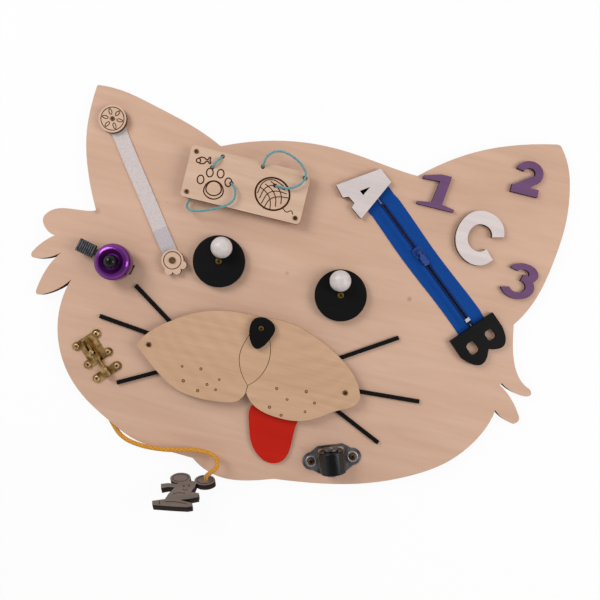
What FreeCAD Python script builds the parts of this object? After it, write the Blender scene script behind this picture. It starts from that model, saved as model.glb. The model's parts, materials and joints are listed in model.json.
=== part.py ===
import FreeCAD, Part
import math
import os

# A wall or table busy board in the shape of a cat's head, lying on its back.
# Millimetres. X runs to the right, Y towards the ears, Z out of the face.
# The origin is at the middle of the back face.

V = FreeCAD.Vector
UP = V(0, 0, 1)

# Plywood sheets and what stands on the face
BOARD_W = 518.9
BOARD_H = 403.0
BOARD_T = 10.0
FACE = BOARD_T
SEAT_GAP = 0.3
RUN_FIT = 0.08
KERF = 0.6

# Screws: shank, pan head and how deep they bite into the board
SCREW_D = 3.4
PILOT_D = SCREW_D + 0.02
HEAD_D = 6.6
HEAD_H = 1.8
BITE = 8.0

# Turning eyes
EYE_AT = {"left": (-74.5, 7.0), "right": (50.5, 3.0)}
EYE_D = 51.5
EYE_T = 6.0
EYE_WASHER_D = 11.0
EYE_WASHER_T = 1.5
KNOB_FROM = {"left": (0.6, 13.4), "right": (-4.2, 13.3)}
KNOB_D = 21.0
KNOB_SEAT_D = 13.0
KNOB_SCREW_L = 12.0
KNOB_HEAD_D = 6.0
KNOB_HEAD_H = 1.0

# Muzzle: two cheeks and a middle drop, raised over the whiskers
MUZZLE_LIFT = 5.0
MUZZLE_T = 5.0
MUZZLE_Z = FACE + MUZZLE_LIFT
MUZZLE_SPLIT_X = -17.5
DROP_MID_Y = -72.5
DROP_HALF_W = 14.3
DROP_HALF_H = 32.0
MUZZLE_SPACER_D = 12.0
CHEEK_SCREW_AT = [(-121.5, -89.0), (77.5, -89.0)]
CHEEK_HEAD_D = 5.0
CHEEK_HEAD_H = 1.4
NOSE_SCREW_AT = (-17.5, -47.0)
NOSE_T = 5.0

# Tongue that swings under the right cheek
TONGUE_T = 3.0
TONGUE_PIVOT = (14.0, -98.0)
TONGUE_HEAD_H = 1.2

# Whiskers
WHISKER_W = 4.0
WHISKER_T = 3.0
WHISKERS = [
    ((-150.0, -36.0), (-106.5, -64.0)),
    ((-177.5, -74.0), (-124.0, -79.5)),
    ((-145.0, -134.5), (-105.5, -113.0)),
    ((63.0, -59.0), (117.0, -24.0)),
    ((90.5, -85.5), (152.0, -81.0)),
    ((74.0, -109.0), (122.0, -130.5)),
]

# Lacing panel on four spacers
PANEL_MID = (-66.0, 86.0)
PANEL_W = 120.5
PANEL_H = 51.5
PANEL_T = 4.0
PANEL_CORNER_R = 4.0
PANEL_LIFT = 8.0
PANEL_Z = FACE + PANEL_LIFT
PANEL_SCREW_IN = 5.5
PANEL_SPACER_D = 8.0
LACE_D = 2.2
LACE_HOLE_D = 4.2
LACE_HOLES = [(-94.5, 107.5), (-102.0, 94.5), (-80.0, 84.0), (-54.0, 107.0), (-38.0, 92.0)]
LACE_KNOT_D = 4.4

# Hook-and-loop strap between a wooden disc and a wooden pull
STRAP_TOP = (-210.5, 119.0)
STRAP_FOOT = (-119.5, -3.0)
STRAP_W = 15.0
TAPE_T = 1.0
STRAP_T = 1.4
DISC_D = 27.5
DISC_T = 4.0
PULL_D = 22.0
PULL_T = 4.0
PULL_TOE_D = 8.0

# Bell
BELL_AT = (-172.5, -18.5)
BELL_D = 36.0
BELL_WALL = 1.2
BELL_BASE_D = 25.0
BELL_BASE_H = 7.0
BELL_RIM_Z = FACE + 12.0
BELL_TOP_Z = FACE + 25.0
BELL_DISH_D = 24.0
BELL_DISH_DEEP = 3.5
BELL_POST_D = 8.0
BELL_CAP_D = 13.5
STRIKER_ANGLE = 167.5
STRIKER_W = 13.0
STRIKER_OUT = 41.0
STRIKER_PAD = 17.0
STRIKER_T = 4.0
STRIKER_RIBS = 8
STRIKER_PIN_R = 14.5
STRIKER_PIN_D = 2.4
STRIKER_Z = FACE + 9.0
BELL_TAB = (12.0, 10.0, 3.0)

# Slide bolt
LATCH_AT = (-177.0, -108.0)
LATCH_ANGLE = -43.5
LATCH_PLATE_T = 1.2
LATCH_L = 27.0
LATCH_W = 19.5
LATCH_EAR_D = 9.0
LATCH_EAR = (10.8, 11.7)
LATCH_KEEP_FROM = 27.2
LATCH_KEEP_L = 9.0
LATCH_BOLT_D = 5.0
LATCH_BOLT_L = 38.0
LATCH_SLEEVE_WALL = 1.0
LATCH_KNOB_D = 5.0
LATCH_KNOB_H = 7.0
LATCH_TRAVEL = 11.0
LATCH_KNOB_AT = 3.0
LATCH_HEAD_D = 5.6

# Furniture roller in a bracket
ROLLER_MID = (81.0, -157.3)
ROLLER_ANGLE = 20.4
ROLLER_SCREWS = 41.6
ROLLER_D = 25.0
ROLLER_W = 22.0
ROLLER_PLATE_T = 1.5
ROLLER_PLATE_W = 28.0
ROLLER_END_D = 17.0
ROLLER_CHEEK_T = 1.5
ROLLER_PIN_D = 4.0
ROLLER_HEIGHT = 13.0

# Zip, laid from under the letter A to under the letter B
ZIP_FROM = (68.2, 102.5)
ZIP_TO = (183.6, 5.7)
ZIP_W = 31.0
ZIP_T = 0.8
ZIP_RISE = 1.9
ZIP_FLAT = 5.0
ZIP_TAIL = 15.0
ZIP_CHAIN_W = 4.0
ZIP_CHAIN_H = 2.2
ZIP_CHAIN_GAP = 1.2
ZIP_SLIDER_FROM = 62.0
ZIP_SLIDER_L = 12.0
ZIP_SLIDER_W = 10.0
ZIP_SLIDER_T = 1.2
ZIP_SLIDER_LOWER_T = 0.6
ZIP_BAR_RISE = 2.4
ZIP_PULL_L = 15.0
ZIP_PULL_W = 6.0
ZIP_PULL_T = 1.4
ZIP_PULL_LEAN = 6.0
ZIP_BAR_D = 1.6
ZIP_STOP_L = 3.5
ZIP_STOP_T = 0.7
ZIP_STOP_IN = 6.0

# Letters and digits: A and B are placed from the ends of the zip
LETTER_T = 5.0
DIGIT_T = 4.0
LETTER_STROKE = 13.5
DIGIT_STROKE = 11.0
LETTER_A_AT = (ZIP_FROM[0] - 32.0, ZIP_FROM[1] - 7.6)
LETTER_B_AT = (ZIP_TO[0] - 16.8, ZIP_TO[1] - 21.0)
LETTER_B_W = 36.5
LETTER_B_H = 51.0
LETTER_C_AT = (171.0, 91.5)
LETTER_C_R = 20.5
LETTER_C_SQUASH = 0.87
DIGIT_AT = [(121.6, 109.8), (203.4, 144.0), (219.0, 54.0)]

# Cord and pendant: the route lies over the lower edge of the board
CORD_D = 4.3
CORD_HOLE_D = CORD_D + 0.7
CORD_ROUTE = [
    (-154.0, -161.5, 5.0),
    (-140.0, -179.0, 5.0),
    (-126.0, -186.9, 11.5),
    (-108.0, -188.6, 15.8),
    (-90.0, -187.6, 17.2),
    (-72.0, -184.5, 17.5),
    (-54.0, -179.0, 19.0),
    (-39.0, -177.5, 21.0),
    (-28.5, -180.5, 24.0),
    (-27.0, -190.5, 26.0),
    (-34.5, -198.0, 23.5),
    (-36.9, -204.4, 14.3),
    (-34.8, -212.8, 7.5),
]
PENDANT_T = 8.0
PENDANT_LEAN = 52.0
PENDANT_TURN = 13.8
PENDANT_HOLE_D = CORD_D + 0.5
PENDANT_EAR = (10.3, 6.0)
KNOT_D = 7.0
KNOT_SINK = 0.36

# Lace routes over the panel
LACE_LOW = PANEL_Z - 3.0
LACE_TOP = PANEL_Z + PANEL_T
LACE_LEFT_ROUTE = [
    (-94.5, 107.5, LACE_LOW),
    (-94.6, 107.3, LACE_TOP + 3.0),
    (-101.9, 94.7, LACE_TOP + 3.0),
    (-102.0, 94.5, LACE_LOW - 0.4),
    (-91.5, 92.5, LACE_LOW),
    (-80.1, 84.1, LACE_LOW - 0.4),
    (-79.9, 83.9, LACE_TOP + 3.5),
    (-73.5, 77.5, LACE_TOP + 5.0),
    (-72.5, 68.0, LACE_TOP + 4.5),
    (-80.0, 60.0, LACE_TOP + 4.0),
    (-92.0, 54.5, LACE_TOP + 3.0),
    (-105.0, 49.0, LACE_TOP + 2.0),
    (-115.5, 48.5, LACE_TOP + 0.5),
    (-120.5, 55.5, PANEL_Z - 4.0),
    (-114.0, 66.0, PANEL_Z - 3.2),
]
LACE_RIGHT_ROUTE = [
    (-54.0, 107.0, LACE_LOW),
    (-54.0, 107.3, LACE_TOP + 4.0),
    (-51.5, 119.0, LACE_TOP + 6.0),
    (-41.5, 125.5, LACE_TOP + 6.0),
    (-29.0, 123.5, LACE_TOP + 6.0),
    (-17.0, 117.5, LACE_TOP + 5.5),
    (-9.5, 108.0, LACE_TOP + 5.0),
    (-13.5, 97.5, LACE_TOP + 4.5),
    (-24.0, 91.0, LACE_TOP + 4.0),
    (-37.8, 91.9, LACE_TOP + 3.5),
    (-38.0, 92.0, LACE_LOW),
]


def cylinder(at, d, z0, z1):
    return Part.makeCylinder(d / 2, z1 - z0, V(at[0], at[1], z0))


def smooth(points):
    curve = Part.BSplineCurve()
    curve.interpolate([V(x, y, 0) for x, y in points])
    return curve.toShape()


def straight(a, b):
    return Part.makeLine(V(a[0], a[1], 0), V(b[0], b[1], 0))


def closed(stretches):
    """A wire of stretches: two points make a line, more make a smooth curve."""
    edges = []
    for points in stretches:
        edges.append(straight(*points) if len(points) == 2 else smooth(points))
    return Part.Wire(edges)


def ring_of(points):
    """One smooth closed curve."""
    curve = Part.BSplineCurve()
    curve.interpolate([V(x, y, 0) for x, y in points], PeriodicFlag=True)
    return Part.Wire([curve.toShape()])


def plate(wire, z0, thick):
    face = Part.Face(wire)
    solid = face.extrude(V(0, 0, thick))
    solid.translate(V(0, 0, z0))
    return solid


def polygon(points, z0, thick):
    corners = [V(x, y, 0) for x, y in points]
    return plate(Part.makePolygon(corners + corners[:1]), z0, thick)


def box_mid(length, width, z0, z1, at=(0.0, 0.0)):
    """A box centred on a point, length along X."""
    corner = V(at[0] - length / 2, at[1] - width / 2, z0)
    return Part.makeBox(length, width, z1 - z0, corner)


def rounded_box(length, width, radius, z0, z1):
    solid = box_mid(length, width, z0, z1)
    edges = [e for e in solid.Edges if abs(e.BoundBox.ZLength - (z1 - z0)) < 1e-6]
    return solid.makeFillet(radius, edges)


def placed(shape, at, angle=0.0):
    shape = shape.copy()
    shape.rotate(V(0, 0, 0), UP, angle)
    shape.translate(V(at[0], at[1], 0))
    return shape


def spot(at, angle, along, across):
    """A place given along and across a turned direction."""
    c = math.cos(math.radians(angle))
    s = math.sin(math.radians(angle))
    return (at[0] + along * c - across * s, at[1] + along * s + across * c)


def fuse(shapes):
    whole = shapes[0]
    for shape in shapes[1:]:
        whole = whole.fuse(shape)
    return whole.removeSplitter()


def cut(shape, tools):
    for tool in tools:
        shape = shape.cut(tool)
    return shape


def pan_screw(at, seat_z, head_d=HEAD_D, head_h=HEAD_H, shank_end=None):
    """A pan-head screw whose head rests on seat_z."""
    end = FACE - BITE if shank_end is None else shank_end
    head = cylinder(at, head_d, seat_z, seat_z + head_h)
    rim = [e for e in head.Edges if abs(e.CenterOfMass.z - seat_z - head_h) < 1e-6]
    head = head.makeFillet(head_h * 0.6, rim)
    return head.fuse(cylinder(at, SCREW_D, end, seat_z))


def pilot(at):
    return cylinder(at, PILOT_D, FACE - BITE - 0.5, FACE + 1)


def route_wire(points):
    """Straight runs joined by tangent arcs; also gives the radii."""
    pts = [V(*p) for p in points]
    edges = []
    radii = []
    last = pts[0]
    for before, here, after in zip(pts, pts[1:], pts[2:]):
        back = (before - here).normalize()
        ahead = (after - here).normalize()
        turn = math.pi - back.getAngle(ahead)
        trim = 0.45 * min(before.distanceToPoint(here), here.distanceToPoint(after))
        radius = trim / math.tan(turn / 2)
        radii.append(radius)
        start = here + back * trim
        end = here + ahead * trim
        middle = (back + ahead).normalize()
        depth = radius / math.cos(turn / 2) - radius
        edges.append(Part.LineSegment(last, start).toShape())
        edges.append(Part.Arc(start, here + middle * depth, end).toShape())
        last = end
    edges.append(Part.LineSegment(last, pts[-1]).toShape())
    return Part.Wire(edges), radii


def tube(points, diameter, name):
    wire, radii = route_wire(points)
    first = wire.Edges[0]
    start = first.valueAt(first.FirstParameter)
    circle = Part.Wire([Part.Circle(start, first.tangentAt(first.FirstParameter), diameter / 2).toShape()])
    solid = wire.makePipeShell([circle], True, False)
    expected = math.pi * diameter * diameter / 4 * wire.Length
    print(name, "length", round(wire.Length, 1), "volume ratio", round(solid.Volume / expected, 4))
    print(name, "radii", [round(r, 1) for r in radii])
    return solid


def knot_at(end, inward, diameter):
    """A round knot whose flat side meets the end of a cord."""
    way = (V(*inward) - V(*end)).normalize()
    ball = Part.makeSphere(diameter / 2, V(*end) - way * diameter * KNOT_SINK)
    return ball.cut(Part.makeCylinder(diameter, diameter, V(*end), way))


def board_outline():
    """Smooth fur and ear lines, drawn on a board 518.9 wide and 403 high."""
    stretches = [
        [(-233.0, 150.0), (-205.0, 149.5), (-176.5, 143.5), (-134.0, 132.5), (-101.0, 119.5)],
        [(-101.0, 119.5), (-78.5, 129.0), (-49.0, 138.0), (-11.5, 144.0), (28.0, 144.0), (69.0, 139.5),
         (97.0, 137.5)],
        [(97.0, 137.5), (116.5, 154.0), (150.5, 176.0), (186.0, 191.0), (223.5, 201.0)],
        [(223.5, 201.0), (228.5, 201.0), (231.5, 198.0)],
        [(231.5, 198.0), (241.5, 182.0), (249.0, 157.0), (252.5, 125.0), (250.0, 88.5), (243.0, 51.5),
         (226.0, 16.0)],
        [(226.0, 16.0), (229.5, -2.0), (235.0, -19.5), (244.0, -34.5), (257.0, -43.0)],
        [(257.0, -43.0), (259.4, -47.5), (254.5, -51.0)],
        [(254.5, -51.0), (243.0, -50.2), (228.5, -43.8)],
        [(228.5, -43.8), (226.8, -45.8)],
        [(226.8, -45.8), (241.0, -56.5), (251.0, -69.0)],
        [(251.0, -69.0), (253.5, -76.0), (249.0, -80.5)],
        [(249.0, -80.5), (239.5, -78.5), (228.5, -71.5)],
        [(228.5, -71.5), (225.5, -85.5), (217.0, -104.5), (196.5, -131.0), (157.5, -157.5), (111.5, -176.0),
         (75.0, -184.5), (29.5, -191.0)],
        [(29.5, -191.0), (2.0, -199.5), (-24.0, -201.8), (-40.0, -198.0), (-54.0, -190.0)],
        [(-54.0, -190.0), (-87.0, -189.0), (-116.0, -185.5), (-146.5, -172.5), (-173.0, -157.5),
         (-197.0, -135.5), (-212.5, -108.5), (-219.0, -77.5), (-214.5, -45.5)],
        [(-214.5, -45.5), (-225.0, -57.5), (-239.5, -67.0)],
        [(-239.5, -67.0), (-245.0, -67.5), (-246.0, -62.5)],
        [(-246.0, -62.5), (-243.0, -47.0), (-237.5, -32.5), (-230.5, -21.5)],
        [(-230.5, -21.5), (-240.0, -28.5), (-253.0, -33.0)],
        [(-253.0, -33.0), (-259.0, -32.0), (-259.0, -27.5)],
        [(-259.0, -27.5), (-252.0, -17.0), (-241.0, -6.5)],
        [(-241.0, -6.5), (-251.5, -2.0), (-256.5, 7.5), (-251.5, 16.0), (-232.0, 23.0), (-207.0, 27.5)],
        [(-207.0, 27.5), (-216.5, 46.0), (-227.0, 71.5), (-234.0, 97.0), (-236.5, 122.5), (-235.8, 147.0)],
        [(-235.8, 147.0), (-235.2, 149.2), (-233.0, 150.0)],
    ]
    wide = BOARD_W / 518.9
    high = BOARD_H / 403.0
    return closed([[(x * wide, y * high) for x, y in points] for points in stretches])


def muzzle_drop_wire(grow=0.0):
    """The drop between the cheeks, or its room in them; the point is at the bottom."""
    def at(x, y):
        return (MUZZLE_SPLIT_X + (x - MUZZLE_SPLIT_X) * (1 + grow / DROP_HALF_W),
                DROP_MID_Y + (y - DROP_MID_Y) * (1 + grow / DROP_HALF_H))
    tip = at(MUZZLE_SPLIT_X, -104.5)
    return closed([
        [tip, at(-28.2, -90.5), at(-31.8, -79.0), at(-30.6, -66.0), at(-26.5, -54.0)],
        [at(-26.5, -54.0), at(MUZZLE_SPLIT_X, -40.5), at(-9.0, -53.0)],
        [at(-9.0, -53.0), at(-4.8, -63.0), at(-3.2, -74.0), at(-4.6, -85.0), tip],
    ])


def muzzle_drop():
    drop = plate(muzzle_drop_wire(), MUZZLE_Z, MUZZLE_T)
    return cut(drop, [cylinder(NOSE_SCREW_AT, PILOT_D, MUZZLE_Z - 1, MUZZLE_Z + MUZZLE_T + 1)])


def cheek(side):
    if side == "left":
        inner = MUZZLE_SPLIT_X - KERF / 2
        wire = closed([
            [(-133.0, -92.5), (-125.5, -78.5), (-107.0, -62.0), (-83.5, -47.5), (-59.5, -39.5),
             (-34.0, -36.5), (inner, -36.5)],
            [(inner, -36.5), (inner, -112.0)],
            [(inner, -112.0), (-22.5, -121.0), (-40.0, -127.0), (-63.5, -128.5), (-85.0, -125.0),
             (-104.0, -115.0), (-124.5, -99.5), (-133.0, -92.5)],
        ])
        at = CHEEK_SCREW_AT[0]
    else:
        inner = MUZZLE_SPLIT_X + KERF / 2
        wire = closed([
            [(inner, -36.5), (-4.0, -35.0), (15.0, -36.5), (38.0, -43.5), (64.5, -57.0), (84.5, -74.0),
             (93.0, -91.0)],
            [(93.0, -91.0), (90.5, -97.5), (74.0, -108.0), (54.0, -121.0), (36.5, -127.5), (17.5, -128.5),
             (-6.0, -123.0), (inner, -112.0)],
            [(inner, -112.0), (inner, -36.5)],
        ])
        at = CHEEK_SCREW_AT[1]
    solid = plate(wire, MUZZLE_Z, MUZZLE_T)
    room = plate(muzzle_drop_wire(KERF), MUZZLE_Z - 1, MUZZLE_T + 2)
    return cut(solid, [room, cylinder(at, PILOT_D, MUZZLE_Z - 1, MUZZLE_Z + MUZZLE_T + 1)])


def nose():
    wire = ring_of([(-28.5, -44.5), (-24.5, -38.0), (-10.0, -38.0), (-4.5, -44.0), (-6.5, -54.5),
                    (-12.0, -64.0), (-17.5, -67.5), (-23.5, -63.5), (-28.0, -54.0)])
    solid = plate(wire, MUZZLE_Z + MUZZLE_T, NOSE_T)
    top = MUZZLE_Z + MUZZLE_T + NOSE_T
    return cut(solid, [cylinder(NOSE_SCREW_AT, PILOT_D, MUZZLE_Z, top + 1)])


def tongue():
    wire = closed([
        [(-7.0, -122.0), (-10.0, -127.0), (-8.0, -141.0), (-2.0, -158.0), (9.0, -171.0), (22.0, -175.5),
         (33.5, -170.5), (38.0, -155.0), (39.0, -130.0)],
        [(39.0, -130.0), (30.0, -105.0), (22.0, -91.0), (TONGUE_PIVOT[0], TONGUE_PIVOT[1] + 10.0)],
        [(TONGUE_PIVOT[0], TONGUE_PIVOT[1] + 10.0), (4.0, -94.0), (-7.0, -122.0)],
    ])
    solid = plate(wire, FACE + SEAT_GAP, TONGUE_T)
    hole_d = SCREW_D + 2 * RUN_FIT
    return cut(solid, [cylinder(TONGUE_PIVOT, hole_d, FACE, FACE + TONGUE_T + 1)])


def whiskers():
    bars = []
    for a, b in WHISKERS:
        length = math.dist(a, b)
        angle = math.degrees(math.atan2(b[1] - a[1], b[0] - a[0]))
        bar = Part.makeBox(length, WHISKER_W, WHISKER_T, V(0, -WHISKER_W / 2, FACE))
        bars.append(placed(bar, a, angle))
    return Part.makeCompound(bars)


def eye(side):
    at = EYE_AT[side]
    knob_at = (at[0] + KNOB_FROM[side][0], at[1] + KNOB_FROM[side][1])
    z0 = FACE + EYE_WASHER_T + SEAT_GAP / 2
    z1 = z0 + EYE_T
    disc = cylinder(at, EYE_D, z0, z1)
    disc = cut(disc, [cylinder(at, SCREW_D + 2 * RUN_FIT, z0 - 1, z1 + 1),
                      cylinder(knob_at, PILOT_D, z0 - 1, z1 + 1),
                      cylinder(knob_at, KNOB_HEAD_D + 0.1, z0 - 1, z0 + KNOB_HEAD_H)])
    ball_z = z1 + math.sqrt((KNOB_D / 2) ** 2 - (KNOB_SEAT_D / 2) ** 2)
    ball = Part.makeSphere(KNOB_D / 2, V(knob_at[0], knob_at[1], ball_z))
    below = cylinder(knob_at, KNOB_D + 2, z1 - KNOB_D, z1)
    screw_top = z0 + KNOB_SCREW_L
    ball = cut(ball, [below, cylinder(knob_at, PILOT_D, z1 - 1, screw_top + 0.3)])
    knob_screw = cylinder(knob_at, KNOB_HEAD_D, z0, z0 + KNOB_HEAD_H).fuse(
        cylinder(knob_at, SCREW_D, z0 + KNOB_HEAD_H, screw_top))
    screw = pan_screw(at, z1 + SEAT_GAP / 2)
    return disc, ball, knob_screw, screw


def eye_washers():
    rings = []
    for at in EYE_AT.values():
        ring = cylinder(at, EYE_WASHER_D, FACE, FACE + EYE_WASHER_T)
        rings.append(ring.cut(cylinder(at, PILOT_D, FACE - 1, FACE + EYE_WASHER_T + 1)))
    return Part.makeCompound(rings)


def muzzle_spacers():
    rings = []
    for at in CHEEK_SCREW_AT + [NOSE_SCREW_AT]:
        ring = cylinder(at, MUZZLE_SPACER_D, FACE, MUZZLE_Z)
        rings.append(ring.cut(cylinder(at, PILOT_D, FACE - 1, MUZZLE_Z + 1)))
    return Part.makeCompound(rings)


def panel_screw_places():
    x = PANEL_W / 2 - PANEL_SCREW_IN
    y = PANEL_H / 2 - PANEL_SCREW_IN
    return [(PANEL_MID[0] + sx * x, PANEL_MID[1] + sy * y) for sx in (-1, 1) for sy in (-1, 1)]


def lacing_panel():
    solid = rounded_box(PANEL_W, PANEL_H, PANEL_CORNER_R, PANEL_Z, PANEL_Z + PANEL_T)
    solid = placed(solid, PANEL_MID)
    tools = [cylinder(at, PILOT_D, PANEL_Z - 1, PANEL_Z + PANEL_T + 1) for at in panel_screw_places()]
    tools += [cylinder(at, LACE_HOLE_D, PANEL_Z - 1, PANEL_Z + PANEL_T + 1) for at in LACE_HOLES]
    return cut(solid, tools)


def lacing_spacers():
    rings = []
    for at in panel_screw_places():
        ring = cylinder(at, PANEL_SPACER_D, FACE, PANEL_Z)
        rings.append(ring.cut(cylinder(at, PILOT_D, FACE - 1, PANEL_Z + 1)))
    return Part.makeCompound(rings)


def strap_angle():
    return math.degrees(math.atan2(STRAP_FOOT[1] - STRAP_TOP[1], STRAP_FOOT[0] - STRAP_TOP[0]))


def strap_length():
    return math.dist(STRAP_TOP, STRAP_FOOT)


def strap_parts():
    angle = strap_angle()
    length = strap_length()
    z1 = FACE + TAPE_T
    z2 = z1 + STRAP_T
    tape = box_mid(length + STRAP_W / 2, STRAP_W, FACE, z1, (length / 2, 0))
    strap = box_mid(length + STRAP_W / 2, STRAP_W, z1, z2, (length / 2, 0))
    holes = [cylinder((0, 0), PILOT_D, FACE - 1, z2 + 1)]
    tape = cut(tape, holes)
    strap = cut(strap, holes + [cylinder((length, 0), PILOT_D, z1 - 1, z2 + 1)])
    return placed(tape, STRAP_TOP, angle), placed(strap, STRAP_TOP, angle)


def strap_disc():
    z0 = FACE + TAPE_T + STRAP_T
    solid = cylinder(STRAP_TOP, DISC_D, z0, z0 + DISC_T)
    return cut(solid, [cylinder(STRAP_TOP, PILOT_D, z0 - 1, z0 + DISC_T + 1)])


def strap_pull():
    """A paw-shaped pull with three toes, on the loose end of the strap."""
    z0 = FACE + TAPE_T + STRAP_T
    z1 = z0 + PULL_T
    parts = [cylinder(STRAP_FOOT, PULL_D, z0, z1)]
    for turn in (-42, 0, 42):
        toe = spot(STRAP_FOOT, strap_angle() + turn, PULL_D / 2, 0)
        parts.append(cylinder(toe, PULL_TOE_D, z0, z1))
    return cut(fuse(parts), [cylinder(STRAP_FOOT, PILOT_D, z0 - 1, z1 + 1)])


def pull_rivet():
    z0 = FACE + TAPE_T
    z1 = z0 + STRAP_T + PULL_T
    return pan_screw(STRAP_FOOT, z1, shank_end=z0)


def bell_base():
    foot = cylinder(BELL_AT, BELL_BASE_D, FACE, FACE + BELL_BASE_H)
    tab_from, tab_w, tab_h = BELL_TAB
    tab = box_mid(tab_from, tab_w, FACE, FACE + tab_h, (tab_from / 2 + 4.0, 0))
    tab = placed(tab, BELL_AT, STRIKER_ANGLE + 180)
    post = cylinder(BELL_AT, BELL_POST_D, FACE + BELL_BASE_H, BELL_TOP_Z - BELL_DISH_DEEP - BELL_WALL)
    ears = []
    for side in (-1, 1):
        ear = box_mid(8.0, 1.8, FACE + BELL_BASE_H - 5.0, STRIKER_Z + 2.2, (STRIKER_PIN_R - 1.5, side * 4.4))
        ears.append(placed(ear, BELL_AT, STRIKER_ANGLE))
    solid = fuse([foot, post, tab] + ears)
    screw_d = SCREW_D + 0.02
    return cut(solid, [striker_pin_bar(STRIKER_PIN_D + 0.02, 12.0),
                       cylinder(BELL_AT, screw_d, FACE - 1, BELL_TOP_Z)])


def striker_pin_bar(diameter, length):
    start = V(STRIKER_PIN_R, -length / 2, STRIKER_Z)
    bar = Part.makeCylinder(diameter / 2, length, start, V(0, 1, 0))
    return placed(bar, BELL_AT, STRIKER_ANGLE)


def bell_striker():
    """Ribbed thumb pad, neck and boss, turning on the pin."""
    boss = Part.makeCylinder(2.6, 6.6, V(STRIKER_PIN_R, -3.3, STRIKER_Z), V(0, 1, 0))
    neck = box_mid(STRIKER_OUT - STRIKER_PAD - STRIKER_PIN_R + 2, 6.6, STRIKER_Z - 1.4, STRIKER_Z + 1.4,
                   ((STRIKER_OUT - STRIKER_PAD + STRIKER_PIN_R) / 2, 0))
    pad = box_mid(STRIKER_PAD, STRIKER_W, STRIKER_Z - STRIKER_T / 2, STRIKER_Z + STRIKER_T / 2,
                  (STRIKER_OUT - STRIKER_PAD / 2, 0))
    pitch = STRIKER_PAD / STRIKER_RIBS
    grooves = []
    for i in range(1, STRIKER_RIBS):
        x = STRIKER_OUT - STRIKER_PAD + i * pitch
        grooves.append(box_mid(pitch * 0.4, STRIKER_W + 2, STRIKER_Z + STRIKER_T / 2 - 0.8,
                               STRIKER_Z + STRIKER_T, (x, 0)))
    solid = placed(cut(fuse([boss, neck, pad]), grooves), BELL_AT, STRIKER_ANGLE)
    return cut(solid, [striker_pin_bar(STRIKER_PIN_D + 2 * RUN_FIT, 20.0)])


def bell_dome():
    """A turned shell: rolled rim, rounded shoulder and a dished top."""
    def shell_profile(grow):
        r = BELL_D / 2 - BELL_WALL + grow
        dish = BELL_DISH_D / 2 - grow
        top = BELL_TOP_Z - BELL_WALL + grow
        floor = top - BELL_DISH_DEEP
        shoulder = 6.0
        return r, dish, top, floor, shoulder
    ro, do, to, fo, so = shell_profile(BELL_WALL)
    ri, di, ti, fi, si = shell_profile(0.0)
    half = math.sqrt(0.5)
    mid_o = V(ro - so * (1 - half), 0, to - so * (1 - half))
    mid_i = V(ri - si * (1 - half), 0, ti - si * (1 - half))
    hole = (SCREW_D + 0.6) / 2
    edges = [
        Part.LineSegment(V(ri, 0, BELL_RIM_Z), V(ro, 0, BELL_RIM_Z)).toShape(),
        Part.LineSegment(V(ro, 0, BELL_RIM_Z), V(ro, 0, to - so)).toShape(),
        Part.Arc(V(ro, 0, to - so), mid_o, V(ro - so, 0, to)).toShape(),
        Part.Arc(V(ro - so, 0, to), V((ro - so + do) / 2 - 0.3, 0, to - 0.9), V(do - 3.0, 0, fo)).toShape(),
        Part.LineSegment(V(do - 3.0, 0, fo), V(hole, 0, fo)).toShape(),
        Part.LineSegment(V(hole, 0, fo), V(hole, 0, fi)).toShape(),
        Part.LineSegment(V(hole, 0, fi), V(di - 3.0, 0, fi)).toShape(),
        Part.Arc(V(di - 3.0, 0, fi), V((ri - si + di) / 2 - 0.3, 0, ti - 0.9), V(ri - si, 0, ti)).toShape(),
        Part.Arc(V(ri - si, 0, ti), mid_i, V(ri, 0, ti - si)).toShape(),
        Part.LineSegment(V(ri, 0, ti - si), V(ri, 0, BELL_RIM_Z)).toShape(),
    ]
    solid = Part.Face(Part.Wire(edges)).revolve(V(0, 0, 0), UP, 360)
    return placed(solid, BELL_AT)


def bell_cap():
    """Round black cap nut with the bolt that goes down into the board."""
    seat = BELL_TOP_Z - BELL_DISH_DEEP
    radius = BELL_CAP_D / 2
    ball = Part.makeSphere(radius, V(BELL_AT[0], BELL_AT[1], seat + radius * 0.55))
    ball = cut(ball, [cylinder(BELL_AT, BELL_CAP_D + 2, seat - BELL_CAP_D, seat)])
    return ball.fuse(cylinder(BELL_AT, SCREW_D, FACE - BITE, seat + 1))


def latch_spot(along, across):
    return spot(LATCH_AT, LATCH_ANGLE, along, across)


def latch_ears():
    x, y = LATCH_EAR
    return [(-x, -y), (-x, y), (x, -y), (x, y)]


def keeper_ears():
    return [(LATCH_KEEP_FROM, -LATCH_EAR[1]), (LATCH_KEEP_FROM, LATCH_EAR[1])]


def sleeve(mid, length):
    """A bent-up channel round the bolt, open at both ends."""
    bore = LATCH_BOLT_D + 2 * RUN_FIT
    z0 = FACE + LATCH_PLATE_T
    height = LATCH_BOLT_D + 2 * RUN_FIT + LATCH_SLEEVE_WALL
    outer = box_mid(length, bore + 2 * LATCH_SLEEVE_WALL, z0, z0 + height, (mid, 0))
    top = [e for e in outer.Edges
           if abs(e.CenterOfMass.z - z0 - height) < 1e-6 and e.BoundBox.XLength > length / 2]
    outer = outer.makeFillet(2.0, top)
    centre_z = latch_bolt_z()
    tunnel = Part.makeCylinder(bore / 2, length + 2, V(mid - length / 2 - 1, 0, centre_z), V(1, 0, 0))
    slit = box_mid(length + 2, bore, z0 - 0.01, centre_z, (mid, 0))
    return cut(outer, [tunnel, slit])


def latch_bolt_z():
    return FACE + LATCH_PLATE_T + RUN_FIT + LATCH_BOLT_D / 2


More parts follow.
